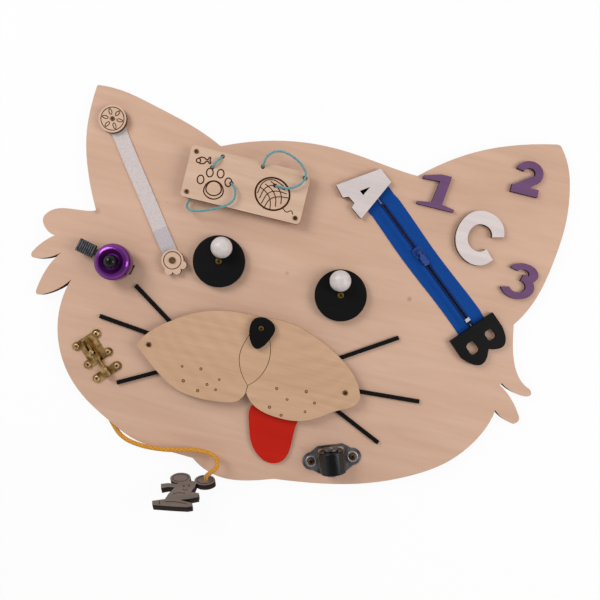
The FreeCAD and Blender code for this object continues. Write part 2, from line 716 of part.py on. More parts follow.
def latch_body():
    z1 = FACE + LATCH_PLATE_T
    parts = [box_mid(LATCH_L, LATCH_W, FACE, z1)]
    for x, y in latch_ears():
        parts.append(cylinder((x, y), LATCH_EAR_D, FACE, z1))
        parts.append(box_mid(LATCH_EAR_D * 0.8, abs(y), FACE, z1, (x, y / 2)))
    parts.append(sleeve(0, LATCH_L - 3.0))
    solid = fuse(parts)
    slot = box_mid(LATCH_TRAVEL + LATCH_KNOB_D + 2 * SEAT_GAP, LATCH_KNOB_D + 2 * SEAT_GAP,
                   latch_bolt_z(), z1 + 20, (LATCH_KNOB_AT - LATCH_TRAVEL / 2, 0))
    holes = [cylinder(ear, PILOT_D, FACE - 1, z1 + 1) for ear in latch_ears()]
    return placed(cut(solid, holes + [slot]), LATCH_AT, LATCH_ANGLE)


def latch_keeper():
    z1 = FACE + LATCH_PLATE_T
    mid = LATCH_KEEP_FROM
    parts = [box_mid(LATCH_KEEP_L, 2 * LATCH_EAR[1], FACE, z1, (mid, 0))]
    for ear in keeper_ears():
        parts.append(cylinder(ear, LATCH_EAR_D, FACE, z1))
    parts.append(sleeve(mid, LATCH_KEEP_L))
    holes = [cylinder(ear, PILOT_D, FACE - 1, z1 + 1) for ear in keeper_ears()]
    return placed(cut(fuse(parts), holes), LATCH_AT, LATCH_ANGLE)


def latch_bolt():
    """Round bolt with an upright knob; shown home in the keeper."""
    tip = LATCH_KEEP_FROM + LATCH_KEEP_L / 2 + 0.5
    z = latch_bolt_z()
    bar = Part.makeCylinder(LATCH_BOLT_D / 2, LATCH_BOLT_L, V(tip - LATCH_BOLT_L, 0, z), V(1, 0, 0))
    knob = cylinder((LATCH_KNOB_AT, 0), LATCH_KNOB_D, z, z + LATCH_KNOB_H)
    rim = [e for e in knob.Edges if abs(e.CenterOfMass.z - z - LATCH_KNOB_H) < 1e-6]
    return placed(fuse([bar, knob.makeFillet(1.5, rim)]), LATCH_AT, LATCH_ANGLE)


def latch_screws():
    seat = FACE + LATCH_PLATE_T
    places = [latch_spot(x, y) for x, y in latch_ears() + keeper_ears()]
    return Part.makeCompound([pan_screw(at, seat, LATCH_HEAD_D) for at in places])


def roller_places():
    half = ROLLER_SCREWS / 2
    return [spot(ROLLER_MID, ROLLER_ANGLE, side * half, 0) for side in (-1, 1)]


def roller_axis_bar(diameter, length):
    start = V(0, -length / 2, FACE + ROLLER_HEIGHT)
    bar = Part.makeCylinder(diameter / 2, length, start, V(0, 1, 0))
    return placed(bar, ROLLER_MID, ROLLER_ANGLE)


def roller_bracket():
    z1 = FACE + ROLLER_PLATE_T
    shoulder = ROLLER_D / 2
    y = ROLLER_PLATE_W / 2
    x = ROLLER_SCREWS / 2
    end = ROLLER_END_D / 2
    middle = polygon([(-x, -end), (-shoulder, -y), (shoulder, -y), (x, -end),
                      (x, end), (shoulder, y), (-shoulder, y), (-x, end)], FACE, ROLLER_PLATE_T)
    base = fuse([middle] + [cylinder((side * x, 0), ROLLER_END_D, FACE, z1) for side in (-1, 1)])
    window = box_mid(ROLLER_D + 2.0, ROLLER_W + 1.0, FACE - 1, z1 + 1)
    cheeks = []
    for side in (-1, 1):
        at = (0, side * (ROLLER_W / 2 + 0.5 + ROLLER_CHEEK_T / 2))
        cheeks.append(box_mid(14.0, ROLLER_CHEEK_T, FACE, FACE + ROLLER_HEIGHT, at))
        start = V(0, at[1] - ROLLER_CHEEK_T / 2, FACE + ROLLER_HEIGHT)
        cheeks.append(Part.makeCylinder(7.0, ROLLER_CHEEK_T, start, V(0, 1, 0)))
    solid = placed(fuse([base.cut(window)] + cheeks), ROLLER_MID, ROLLER_ANGLE)
    holes = [cylinder(at, PILOT_D, FACE - 1, z1 + 1) for at in roller_places()]
    return cut(solid, holes + [roller_axis_bar(ROLLER_PIN_D + 0.02, 60.0)])


def roller_wheel():
    wheel = roller_axis_bar(ROLLER_D, ROLLER_W)
    rims = [e for e in wheel.Edges if e.Length > ROLLER_D * 3 and len(e.Vertexes) == 1]
    wheel = wheel.makeFillet(1.2, rims)
    return wheel.cut(roller_axis_bar(ROLLER_PIN_D + 2 * RUN_FIT, 60.0))


def zip_angle():
    return math.degrees(math.atan2(ZIP_TO[1] - ZIP_FROM[1], ZIP_TO[0] - ZIP_FROM[0]))


def zip_length():
    return math.dist(ZIP_FROM, ZIP_TO)


def zip_tape(side):
    """One half of the tape: flat at its outer edge, rising towards the teeth."""
    inner = side * ZIP_CHAIN_W / 2
    outer = side * ZIP_W / 2
    flat = side * (ZIP_W / 2 - ZIP_FLAT)
    bend = side * (ZIP_CHAIN_W / 2 + 3.0)
    rise = FACE + ZIP_RISE
    profile = [(outer, FACE), (flat, FACE), (bend, rise), (inner, rise), (inner, rise + ZIP_T),
               (bend, rise + ZIP_T), (flat, FACE + ZIP_T), (outer, FACE + ZIP_T)]
    corners = [V(0, y, z) for y, z in profile]
    face = Part.Face(Part.makePolygon(corners + corners[:1]))
    solid = face.extrude(V(zip_length(), 0, 0))
    tails = []
    for x in (-ZIP_TAIL / 2 + 0.5, zip_length() + ZIP_TAIL / 2 - 0.5):
        tails.append(box_mid(ZIP_TAIL + 1.0, ZIP_W / 2 - ZIP_CHAIN_GAP / 2, FACE, FACE + ZIP_T,
                             (x, side * (ZIP_W / 4 + ZIP_CHAIN_GAP / 4))))
    return placed(fuse([solid] + tails), ZIP_FROM, zip_angle())


def zip_chain():
    """Two rows of teeth as bars, with the slider's wedge free between them."""
    bars = []
    z0 = FACE + ZIP_RISE + ZIP_T / 2 - ZIP_CHAIN_H / 2
    width = (ZIP_CHAIN_W - ZIP_CHAIN_GAP) / 2
    for side in (-1, 1):
        mid = side * (ZIP_CHAIN_GAP / 2 + width / 2)
        bar = box_mid(zip_length() - 2.0, width, z0, z0 + ZIP_CHAIN_H, (zip_length() / 2, mid))
        bars.append(placed(bar, ZIP_FROM, zip_angle()))
    return Part.makeCompound(bars)


def zip_chain_top():
    return FACE + ZIP_RISE + ZIP_T / 2 + ZIP_CHAIN_H / 2


def zip_slider():
    top0 = zip_chain_top() + SEAT_GAP
    top1 = top0 + ZIP_SLIDER_T
    low1 = zip_chain_top() - ZIP_CHAIN_H - SEAT_GAP
    low0 = low1 - ZIP_SLIDER_LOWER_T
    mid = (ZIP_SLIDER_FROM, 0)
    upper = rounded_box(ZIP_SLIDER_L, ZIP_SLIDER_W, 2.5, top0, top1)
    upper.translate(V(mid[0], mid[1], 0))
    lower = box_mid(ZIP_SLIDER_L - 2.0, 3.2, low0, low1, mid)
    wedge = box_mid(ZIP_SLIDER_L / 3, ZIP_CHAIN_GAP - 0.3, low0, top1, (mid[0] - ZIP_SLIDER_L / 4, 0))
    posts = []
    bar_z = zip_bar_z()
    for side in (-1, 1):
        posts.append(box_mid(2.6, 1.0, top1, bar_z + 1.0, (mid[0], side * 2.2)))
    bar = Part.makeCylinder(ZIP_BAR_D / 2, 4.8, V(mid[0], -2.4, bar_z), V(0, 1, 0))
    return placed(fuse([upper, lower, wedge, bar] + posts), ZIP_FROM, zip_angle())


def zip_bar_z():
    return zip_chain_top() + SEAT_GAP + ZIP_SLIDER_T + ZIP_BAR_RISE


def zip_pull():
    z = zip_bar_z()
    knuckle = Part.makeCylinder(1.9, 2.8, V(0, -1.4, z), V(0, 1, 0))
    neck = box_mid(5.0, 2.8, z - ZIP_PULL_T / 2, z + ZIP_PULL_T / 2, (3.5, 0))
    blade = rounded_box(ZIP_PULL_L - 4.0, ZIP_PULL_W, 1.6, z - ZIP_PULL_T / 2, z + ZIP_PULL_T / 2)
    blade.translate(V(4.0 + ZIP_PULL_L / 2 - 2.0, 0, 0))
    hole = Part.makeCylinder(ZIP_BAR_D / 2 + RUN_FIT, 10.0, V(0, -5, z), V(0, 1, 0))
    solid = cut(fuse([knuckle, neck, blade]), [hole])
    solid.rotate(V(0, 0, z), V(0, 1, 0), ZIP_PULL_LEAN)
    solid.translate(V(ZIP_SLIDER_FROM, 0, 0))
    return placed(solid, ZIP_FROM, zip_angle())


def zip_stop():
    low = zip_chain_top()
    clip = box_mid(ZIP_STOP_L, ZIP_CHAIN_W + 1.0, low, low + ZIP_STOP_T, (zip_length() - ZIP_STOP_IN, 0))
    return placed(clip, ZIP_FROM, zip_angle())


def letter_a():
    """Capital A on the upper end of the tape."""
    z0 = FACE + ZIP_T
    outer = [(-20.8, 0.0), (-7.4, 45.0), (9.4, 45.5), (20.8, 0.0), (6.3, -1.0), (4.4, 3.8),
             (-4.0, 3.2), (-7.0, -2.0)]
    hole = [(-2.2, 15.4), (3.2, 15.4), (0.8, 26.0)]
    solid = polygon(outer, z0, LETTER_T).cut(polygon(hole, z0 - 1, LETTER_T + 2))
    return placed(solid, LETTER_A_AT, -39.5)


def letter_b():
    """Capital B whose back stands against the lower end of the tape."""
    w = LETTER_B_W
    h = LETTER_B_H
    z0 = FACE + ZIP_T
    outline = closed([
        [(0, 0), (0, h)],
        [(0, h), (w * 0.45, h)],
        [(w * 0.45, h), (w * 0.92, h * 0.80), (w * 0.76, h * 0.53)],
        [(w * 0.76, h * 0.53), (w, h * 0.27), (w * 0.55, 0)],
        [(w * 0.55, 0), (0, 0)],
    ])
    upper = rounded_box(11.0, 9.5, 3.5, z0 - 1, z0 + LETTER_T + 1)
    upper.translate(V(w * 0.47, h * 0.72, 0))
    lower = rounded_box(13.0, 10.0, 3.5, z0 - 1, z0 + LETTER_T + 1)
    lower.translate(V(w * 0.50, h * 0.29, 0))
    solid = cut(plate(outline, z0, LETTER_T), [upper, lower])
    return placed(solid, LETTER_B_AT, -42.0)


def arc_band(radius, width, start, end, squash, z0, thick):
    """A bent band between two angles, narrower across than it is tall."""
    def point(r, a):
        return V(r * math.cos(math.radians(a)) * squash, r * math.sin(math.radians(a)), 0)
    outer = radius + width / 2
    inner = radius - width / 2
    step = (end - start) / 6
    angles = [start + i * step for i in range(7)]
    curve_out = Part.BSplineCurve()
    curve_out.interpolate([point(outer, a) for a in angles])
    curve_in = Part.BSplineCurve()
    curve_in.interpolate([point(inner, a) for a in reversed(angles)])
    edges = [curve_out.toShape(), Part.makeLine(point(outer, end), point(inner, end)), curve_in.toShape(),
             Part.makeLine(point(inner, start), point(outer, start))]
    return plate(Part.Wire(edges), z0, thick)


def letter_c():
    solid = arc_band(LETTER_C_R, LETTER_STROKE, 13.0, 318.0, LETTER_C_SQUASH, FACE, LETTER_T)
    return placed(solid, LETTER_C_AT)


def digit_1():
    s = DIGIT_STROKE
    stem = polygon([(-s / 2 - 0.5, 0), (s / 2 - 0.5, 0), (s / 2 + 3.0, 34.0), (-s / 2 + 4.5, 34.0)],
                   FACE, DIGIT_T)
    flag = polygon([(-19.5, 26.0), (-19.0, 29.0), (-2.0, 34.0), (s / 2, 34.0), (0.0, 27.0)], FACE, DIGIT_T)
    foot = polygon([(-19.5, 0), (-19.5, 2.5), (-8.0, 4.5), (8.0, 4.5), (18.5, 2.5), (18.0, 0)],
                   FACE, DIGIT_T)
    return placed(fuse([stem, flag, foot]), DIGIT_AT[0])


def digit_2():
    s = DIGIT_STROKE
    bowl = arc_band(8.8, s - 4.0, -40.0, 168.0, 1.12, FACE, DIGIT_T)
    bowl.translate(V(0.8, 21.5, 0))
    slope = polygon([(-13.5, 6.5), (-13.5, 0.0), (-3.0, 0.0), (14.0, 17.0), (5.0, 20.0)], FACE, DIGIT_T)
    foot = polygon([(-13.5, 0), (-13.5, 7.5), (13.5, 7.5), (14.0, 0)], FACE, DIGIT_T)
    return placed(fuse([bowl, slope, foot]), DIGIT_AT[1])


def digit_3():
    s = DIGIT_STROKE
    upper = arc_band(7.0, s - 5.0, -75.0, 160.0, 1.5, FACE, DIGIT_T)
    upper.translate(V(3.0, 13.5, 0))
    lower = arc_band(9.5, s - 4.5, -160.0, 78.0, 1.33, FACE, DIGIT_T)
    return placed(fuse([upper, lower]), DIGIT_AT[2])


def oval(at, half):
    """A smooth oval from its middle and its half width and height."""
    turns = [math.radians(45.0 * i) for i in range(8)]
    return ring_of([(at[0] + half[0] * math.cos(t), at[1] + half[1] * math.sin(t)) for t in turns])


def pendant_blank():
    """A plain mouse cut-out lying flat, with its hanging hole at the origin."""
    parts = [
        plate(oval((-0.6, -1.0), PENDANT_EAR), 0, PENDANT_T),
        plate(oval((-25.2, 1.6), PENDANT_EAR), 0, PENDANT_T),
        polygon([(-16.0, -1.5), (-8.0, -3.0), (-9.5, -9.5), (-12.5, -14.5), (-4.5, -16.0), (-4.5, -20.5),
                 (-13.0, -22.5), (-22.0, -23.5), (-9.5, -27.0), (-9.0, -30.5), (-14.0, -31.5),
                 (-30.0, -30.5), (-47.5, -29.0), (-48.5, -24.5), (-36.5, -22.5), (-34.0, -16.5),
                 (-29.0, -9.5), (-36.0, -9.0), (-42.5, -10.5), (-43.5, -5.5), (-36.5, -4.5),
                 (-28.0, -5.5), (-22.0, -2.5)], 0, PENDANT_T),
    ]
    return cut(fuse(parts), [cylinder((0, 0), PENDANT_HOLE_D, -1, PENDANT_T + 1)])


def pendant_and_knot():
    """The cord's stiff end holds the pendant with its feet raised."""
    blank = pendant_blank()
    knot = Part.makeSphere(KNOT_D / 2, V(0, 0, -KNOT_D * KNOT_SINK))
    knot = knot.cut(box_mid(40.0, 40.0, 0.0, 20.0))
    for shape in (blank, knot):
        shape.rotate(V(0, 0, 0), V(1, 0, 0), -PENDANT_LEAN)
        shape.rotate(V(0, 0, 0), UP, PENDANT_TURN)
        shape.translate(V(*CORD_ROUTE[-1]))
        print("lowest point of the pendant or knot", round(shape.BoundBox.ZMin, 2))
    return blank, knot


def build():
    nodes = {}
    holes = [pilot(at) for at in EYE_AT.values()]
    holes += [pilot(at) for at in CHEEK_SCREW_AT + [NOSE_SCREW_AT, TONGUE_PIVOT]]
    holes += [pilot(at) for at in panel_screw_places() + roller_places()]
    holes += [pilot(latch_spot(x, y)) for x, y in latch_ears() + keeper_ears()]
    holes += [pilot(STRAP_TOP), pilot(BELL_AT)]
    cord_start = V(*CORD_ROUTE[0])
    cord_way = V(*CORD_ROUTE[1]) - cord_start
    holes.append(Part.makeCylinder(CORD_HOLE_D / 2, cord_way.Length, cord_start, cord_way))
    nodes["board"] = cut(plate(board_outline(), 0, BOARD_T), holes)

    for side in ("left", "right"):
        disc, ball, knob_screw, screw = eye(side)
        nodes[side + "_eye_disc"] = disc
        nodes[side + "_eye_knob"] = ball
        nodes[side + "_eye_knob_screw"] = knob_screw
        nodes[side + "_eye_screw"] = screw
    nodes["eye_washers"] = eye_washers()

    muzzle_top = MUZZLE_Z + MUZZLE_T
    nodes["left_cheek"] = cheek("left")
    nodes["right_cheek"] = cheek("right")
    nodes["muzzle_middle"] = muzzle_drop()
    nodes["nose"] = nose()
    nodes["nose_screw"] = pan_screw(NOSE_SCREW_AT, muzzle_top + NOSE_T, 5.4)
    nodes["cheek_screws"] = Part.makeCompound(
        [pan_screw(at, muzzle_top, CHEEK_HEAD_D, CHEEK_HEAD_H) for at in CHEEK_SCREW_AT])
    nodes["muzzle_spacers"] = muzzle_spacers()
    nodes["tongue"] = tongue()
    nodes["tongue_screw"] = pan_screw(TONGUE_PIVOT, FACE + SEAT_GAP + TONGUE_T + 0.15, head_h=TONGUE_HEAD_H)
    nodes["whiskers"] = whiskers()

    nodes["lacing_panel"] = lacing_panel()
    nodes["lacing_spacers"] = lacing_spacers()
    nodes["lacing_screws"] = Part.makeCompound(
        [pan_screw(at, PANEL_Z + PANEL_T, 4.6, 1.2) for at in panel_screw_places()])
    nodes["lace_left"] = tube(LACE_LEFT_ROUTE, LACE_D, "lace_left")
    nodes["lace_right"] = tube(LACE_RIGHT_ROUTE, LACE_D, "lace_right")
    ends = [(LACE_LEFT_ROUTE[0], LACE_LEFT_ROUTE[1]), (LACE_LEFT_ROUTE[-1], LACE_LEFT_ROUTE[-2]),
            (LACE_RIGHT_ROUTE[0], LACE_RIGHT_ROUTE[1]), (LACE_RIGHT_ROUTE[-1], LACE_RIGHT_ROUTE[-2])]
    nodes["lace_knots"] = Part.makeCompound([knot_at(end, inward, LACE_KNOT_D) for end, inward in ends])

    nodes["strap_tape"], nodes["strap"] = strap_parts()
    nodes["strap_disc"] = strap_disc()
    nodes["strap_disc_screw"] = pan_screw(STRAP_TOP, FACE + TAPE_T + STRAP_T + DISC_T, 4.6, 1.2)
    nodes["strap_pull"] = strap_pull()
    nodes["strap_pull_rivet"] = pull_rivet()

    nodes["bell_base"] = bell_base()
    nodes["bell_dome"] = bell_dome()
    nodes["bell_cap"] = bell_cap()
    nodes["bell_striker"] = bell_striker()
    nodes["bell_striker_pin"] = striker_pin_bar(STRIKER_PIN_D, 10.6)

    nodes["latch_body"] = latch_body()
    nodes["latch_keeper"] = latch_keeper()
    nodes["latch_bolt"] = latch_bolt()
    nodes["latch_screws"] = latch_screws()

    nodes["roller_bracket"] = roller_bracket()
    nodes["roller_wheel"] = roller_wheel()
    nodes["roller_axle"] = roller_axis_bar(ROLLER_PIN_D, ROLLER_W + 2 * (0.5 + ROLLER_CHEEK_T) + 2.0)
    nodes["roller_screws"] = Part.makeCompound(
        [pan_screw(at, FACE + ROLLER_PLATE_T) for at in roller_places()])

    nodes["zip_tape_left"] = zip_tape(-1)
    nodes["zip_tape_right"] = zip_tape(1)
    nodes["zip_teeth"] = zip_chain()
    nodes["zip_slider"] = zip_slider()
    nodes["zip_pull"] = zip_pull()
    nodes["zip_stop"] = zip_stop()

    nodes["letter_a"] = letter_a()
    nodes["letter_b"] = letter_b()
    nodes["letter_c"] = letter_c()
    nodes["digit_1"] = digit_1()
    nodes["digit_2"] = digit_2()
    nodes["digit_3"] = digit_3()

    nodes["mouse_cord"] = tube(CORD_ROUTE, CORD_D, "mouse_cord")
    nodes["mouse_pendant"], nodes["cord_knot"] = pendant_and_knot()
    return nodes


def main():
    os.makedirs("parts", exist_ok=True)
    nodes = build()
    whole = None
    for name, shape in nodes.items():
        if not shape.isValid():
            print("not valid:", name)
        if shape.ShapeType == "Compound" and len(shape.Solids) == 1:
            shape = shape.Solids[0]
        shape.exportStep("parts/" + name + ".step")
        box = shape.BoundBox
        if name not in ("mouse_cord", "mouse_pendant", "cord_knot"):
            whole = box if whole is None else whole.united(box)
        ends = (box.XMin, box.XMax, box.YMin, box.YMax, box.ZMin, box.ZMax)
        print(name, len(shape.Solids), [round(v, 1) for v in ends])
    print("nodes", len(nodes), "middle of the box", round(whole.Center.x, 2), round(whole.Center.y, 2))


main()
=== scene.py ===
import bpy
import json
import math
from mathutils import Euler, Matrix, Vector


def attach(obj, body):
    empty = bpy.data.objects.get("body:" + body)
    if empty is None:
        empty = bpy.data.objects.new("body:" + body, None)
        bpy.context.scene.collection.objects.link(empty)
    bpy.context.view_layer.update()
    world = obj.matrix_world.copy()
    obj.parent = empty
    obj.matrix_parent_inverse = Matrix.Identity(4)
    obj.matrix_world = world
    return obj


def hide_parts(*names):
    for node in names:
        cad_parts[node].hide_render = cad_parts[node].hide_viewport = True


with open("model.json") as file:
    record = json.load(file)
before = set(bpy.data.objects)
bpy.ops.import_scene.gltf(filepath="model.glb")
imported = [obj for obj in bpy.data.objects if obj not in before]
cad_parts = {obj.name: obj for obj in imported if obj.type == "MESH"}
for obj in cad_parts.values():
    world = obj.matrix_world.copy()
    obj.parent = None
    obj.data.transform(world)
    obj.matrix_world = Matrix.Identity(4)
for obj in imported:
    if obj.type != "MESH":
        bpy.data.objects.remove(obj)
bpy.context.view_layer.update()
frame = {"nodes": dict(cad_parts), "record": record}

MM = 0.001
# the board's face, and one ply of its edge
FACE = 10.0 * MM
PLY = 1.4 * MM


# Camera and light
def linear(code):
    """sRGB hex to the linear colour that a shader takes."""
    parts = [int(code[i:i + 2], 16) / 255 for i in (0, 2, 4)]
    return [p / 12.92 if p <= 0.04045 else ((p + 0.055) / 1.055) ** 2.4 for p in parts] + [1.0]


def add(tree, kind, inputs=None, links=None, stops=None, **settings):
    """Adds one node with its settings, values and links."""
    node = tree.nodes.new(kind)
    for key, value in settings.items():
        setattr(node, key, value)
    for key, value in (inputs or {}).items():
        node.inputs[key].default_value = value
    for key, source in (links or {}).items():
        tree.links.new(source, node.inputs[key])
    if stops:
        ramp = node.color_ramp
        while len(ramp.elements) < len(stops):
            ramp.elements.new(0.5)
        for element, (place, code) in zip(ramp.elements, stops):
            element.position = place
            element.color = linear(code)
    return node


CAMERA_TURN = math.radians(13.8)
CAMERA_AT = (12.5 * MM, -11.0 * MM, 610.0 * MM)
LENS = 36.0
camera_data = bpy.data.cameras.new("overhead")
camera_data.lens = LENS
camera_data.sensor_width = LENS
camera = bpy.data.objects.new("overhead", camera_data)
camera.location = CAMERA_AT
camera.rotation_euler = (0.0, 0.0, CAMERA_TURN)
bpy.context.scene.collection.objects.link(camera)
bpy.context.scene.camera = camera

# two softboxes, one on each side, the left one a little stronger: watts and place in metres
SOFTBOXES = ((5.6, (-0.80, 0.36, 0.80)), (4.6, (0.85, 0.10, 0.75)))
SOFTBOX_SIZE = (0.42, 0.62)
for watts, place in SOFTBOXES:
    lamp_data = bpy.data.lights.new("softbox", "AREA")
    lamp_data.shape = "RECTANGLE"
    lamp_data.size, lamp_data.size_y = SOFTBOX_SIZE
    lamp_data.energy = watts
    lamp = bpy.data.objects.new("softbox", lamp_data)
    lamp.location = place
    lamp.rotation_euler = (-lamp.location).to_track_quat("-Z", "Y").to_euler()
    bpy.context.scene.collection.objects.link(lamp)

# strength of the world as a light, and of its white straight overhead
FILL = 0.46
OVERHEAD = 0.30
world = bpy.data.worlds.new("studio")
bpy.context.scene.world = world
world.use_nodes = True
tree = world.node_tree
tree.nodes.clear()
path = add(tree, "ShaderNodeLightPath")
seen = add(tree, "ShaderNodeMath", operation="MAXIMUM",
           links={0: path.outputs["Is Camera Ray"], 1: path.outputs["Is Glossy Ray"]})
seen = add(tree, "ShaderNodeMath", operation="MAXIMUM",
           links={0: seen.outputs[0], 1: path.outputs["Is Transmission Ray"]})
fill = add(tree, "ShaderNodeBackground", {"Color": (1, 1, 1, 1), "Strength": FILL})
# white all round, and duller straight overhead, where the camera hangs
sky = add(tree, "ShaderNodeTexCoord")
sky = add(tree, "ShaderNodeSeparateXYZ", links={0: sky.outputs["Generated"]})
sky = add(tree, "ShaderNodeMapRange", {1: 0.35, 2: 0.92, 3: 1.0, 4: OVERHEAD}, {0: sky.outputs[2]})
sky = add(tree, "ShaderNodeMath", operation="MAXIMUM",
          links={0: sky.outputs[0], 1: path.outputs["Is Camera Ray"]})
white = add(tree, "ShaderNodeBackground", {"Color": (1, 1, 1, 1)}, {"Strength": sky.outputs[0]})
both = add(tree, "ShaderNodeMixShader",
           links={0: seen.outputs[0], 1: fill.outputs[0], 2: white.outputs[0]})
add(tree, "ShaderNodeOutputWorld", links={"Surface": both.outputs[0]})

bpy.context.scene.view_settings.view_transform = "Standard"


# Materials
def material(name, **shader):
    """A new material with its Principled shader."""
    mat = bpy.data.materials.new(name)
    mat.use_nodes = True
    shade = mat.node_tree.nodes["Principled BSDF"]
    for key, value in shader.items():
        shade.inputs[key.replace("_", " ")].default_value = value
    return mat, mat.node_tree, shade


def bump(tree, shade, height, strength, distance):
    """Small relief from a height, without changing the mesh."""
    node = add(tree, "ShaderNodeBump", {"Strength": strength, "Distance": distance},
               {"Height": height})
    tree.links.new(node.outputs[0], shade.inputs["Normal"])


def noise(tree, coords, scale, detail):
    """Cloudy grey noise of a scale per metre."""
    node = add(tree, "ShaderNodeTexNoise", {"Scale": scale, "Detail": detail}, {"Vector": coords})
    return node.outputs[0]


def ramp(tree, amount, start, dark, end, light):
    """Two-colour ramp over an amount."""
    return add(tree, "ShaderNodeValToRGB", links={0: amount},
               stops=[(start, dark), (end, light)]).outputs[0]


def spread(tree, amount, low, high, to_low, to_high):
    """Maps low..high to another span."""
    node = add(tree, "ShaderNodeMapRange", {1: low, 2: high, 3: to_low, 4: to_high}, {0: amount})
    return node.outputs[0]


def calc(tree, operation, left, right):
    """One sum on an amount; right is an amount or a number."""
    if isinstance(right, float):
        return add(tree, "ShaderNodeMath", {1: right}, {0: left}, operation=operation).outputs[0]
    return add(tree, "ShaderNodeMath", links={0: left, 1: right}, operation=operation).outputs[0]


def darken(tree, paint, share):
    """Multiplies a colour by a grey share."""
    return add(tree, "ShaderNodeMix", {0: 1.0}, {6: paint, 7: share}, data_type="RGBA",
               blend_type="MULTIPLY").outputs[2]


def turned(tree, coords, rotation):
    """The same coordinates in a turned frame."""
    return add(tree, "ShaderNodeMapping", {"Rotation": rotation}, {0: coords},
               vector_type="TEXTURE").outputs[0]


def cut_edge(tree, coords, normal, dark, light, ply):
    """Laser-burnt edge: thin plies of lighter and darker brown, and where it shows."""
    depth = add(tree, "ShaderNodeSeparateXYZ", links={0: coords}).outputs[2]
    layer = calc(tree, "MULTIPLY", depth, 1.0 / ply)
    layer = calc(tree, "ADD", layer, noise(tree, coords, 90.0, 3.0))
    layer = calc(tree, "PINGPONG", layer, 2.0)
    layer = calc(tree, "MULTIPLY", layer, 0.5)
    facing = add(tree, "ShaderNodeSeparateXYZ", links={0: normal}).outputs[2]
    facing = calc(tree, "ABSOLUTE", facing, 0.0)
    return ramp(tree, layer, 0.25, dark, 0.85, light), calc(tree, "LESS_THAN", facing, 0.6)


def sheet_wood(name, dark, light, edge_dark="2B1A10", edge_light="6A4527",
               stretch=(9.0, 95.0, 60.0), rough=0.55, turn=0.0, tilt=None, speck=0.0, curl=0.0,
               shine=0.12, marks=()):
    """Flat cut sheet: grain or paint on its faces, burnt plies on its edge."""
    mat, tree, shade = material(name, Roughness=rough, IOR=1.5, Specular_IOR_Level=shine)
    place = add(tree, "ShaderNodeTexCoord")
    coords = place.outputs["Object"]
    normal = place.outputs["Normal"]
    if tilt:
        coords = turned(tree, coords, tilt)
        normal = turned(tree, normal, tilt)
    grain_way = add(tree, "ShaderNodeMapping",
                    {"Rotation": (0, 0, math.radians(turn)), "Scale": stretch}, {0: coords})
    grain = add(tree, "ShaderNodeTexNoise",
                {"Scale": 1.0, "Detail": 6.0, "Roughness": 0.62, "Distortion": 0.35},
                {"Vector": grain_way.outputs[0]})
    amount = grain.outputs[0]
    if curl:
        # growth rings cut at a slant, as faint curved bands
        rings = add(tree, "ShaderNodeTexWave",
                    {"Scale": curl, "Distortion": 7.0, "Detail": 3.0, "Detail Scale": 0.6},
                    {"Vector": coords}, wave_type="RINGS", rings_direction="Z")
        amount = add(tree, "ShaderNodeMix", {0: 0.09}, {2: amount, 3: rings.outputs[1]}).outputs[0]
    paint = ramp(tree, amount, 0.28, dark, 0.72, light)
    if speck:
        # matte brushed paint: fine dull specks about 0.8 mm across
        dots = noise(tree, coords, 1200.0, 2.0)
        paint = darken(tree, paint, spread(tree, dots, 0.35, 0.65, 1.0 - speck, 1.0))
    for x, y, radius, depth in marks:
        # small knots and scorch marks that fade out over their radius
        away = add(tree, "ShaderNodeVectorMath", {1: (x * MM, y * MM, FACE)}, {0: coords},
                   operation="DISTANCE").outputs[1]
        fade = spread(tree, away, radius * 0.3 * MM, radius * MM, 1.0 - depth, 1.0)
        paint = darken(tree, paint, fade)
    burnt, edge = cut_edge(tree, coords, normal, edge_dark, edge_light, PLY)
    whole = add(tree, "ShaderNodeMix", links={0: edge, 6: paint, 7: burnt}, data_type="RGBA")
    tree.links.new(whole.outputs[2], shade.inputs["Base Color"])
    bump(tree, shade, amount, 0.12, 0.15 * MM)
    return mat


def clouded(mat, tree, shade, cloud, dark, light, rough_low, rough_high):
    """Tone and gloss that follow the same cloud."""
    tree.links.new(ramp(tree, cloud, 0.3, dark, 0.7, light), shade.inputs["Base Color"])
    tree.links.new(spread(tree, cloud, 0.3, 0.7, rough_low, rough_high), shade.inputs["Roughness"])
    return mat


def metal(name, dark, light, rough_low, rough_high, scale=160.0, brushed=1.0):
    """Metal whose tone and gloss change a little over a few millimetres."""
    mat, tree, shade = material(name, Metallic=1.0)
    place = add(tree, "ShaderNodeTexCoord").outputs["Object"]
    way = add(tree, "ShaderNodeMapping", {"Scale": (1.0, brushed, 1.0)}, {0: place}).outputs[0]
    cloud = noise(tree, way, scale, 5.0)
    return clouded(mat, tree, shade, cloud, dark, light, rough_low, rough_high)


def moulded(name, dark, light, rough_low, rough_high, scale=700.0, **more):
    """Moulded or sprayed surface with a faint orange-peel texture."""
    mat, tree, shade = material(name, **more)
    cloud = noise(tree, add(tree, "ShaderNodeTexCoord").outputs["Object"], scale, 3.0)
    bump(tree, shade, cloud, 0.08, 0.05 * MM)
    return clouded(mat, tree, shade, cloud, dark, light, rough_low, rough_high)


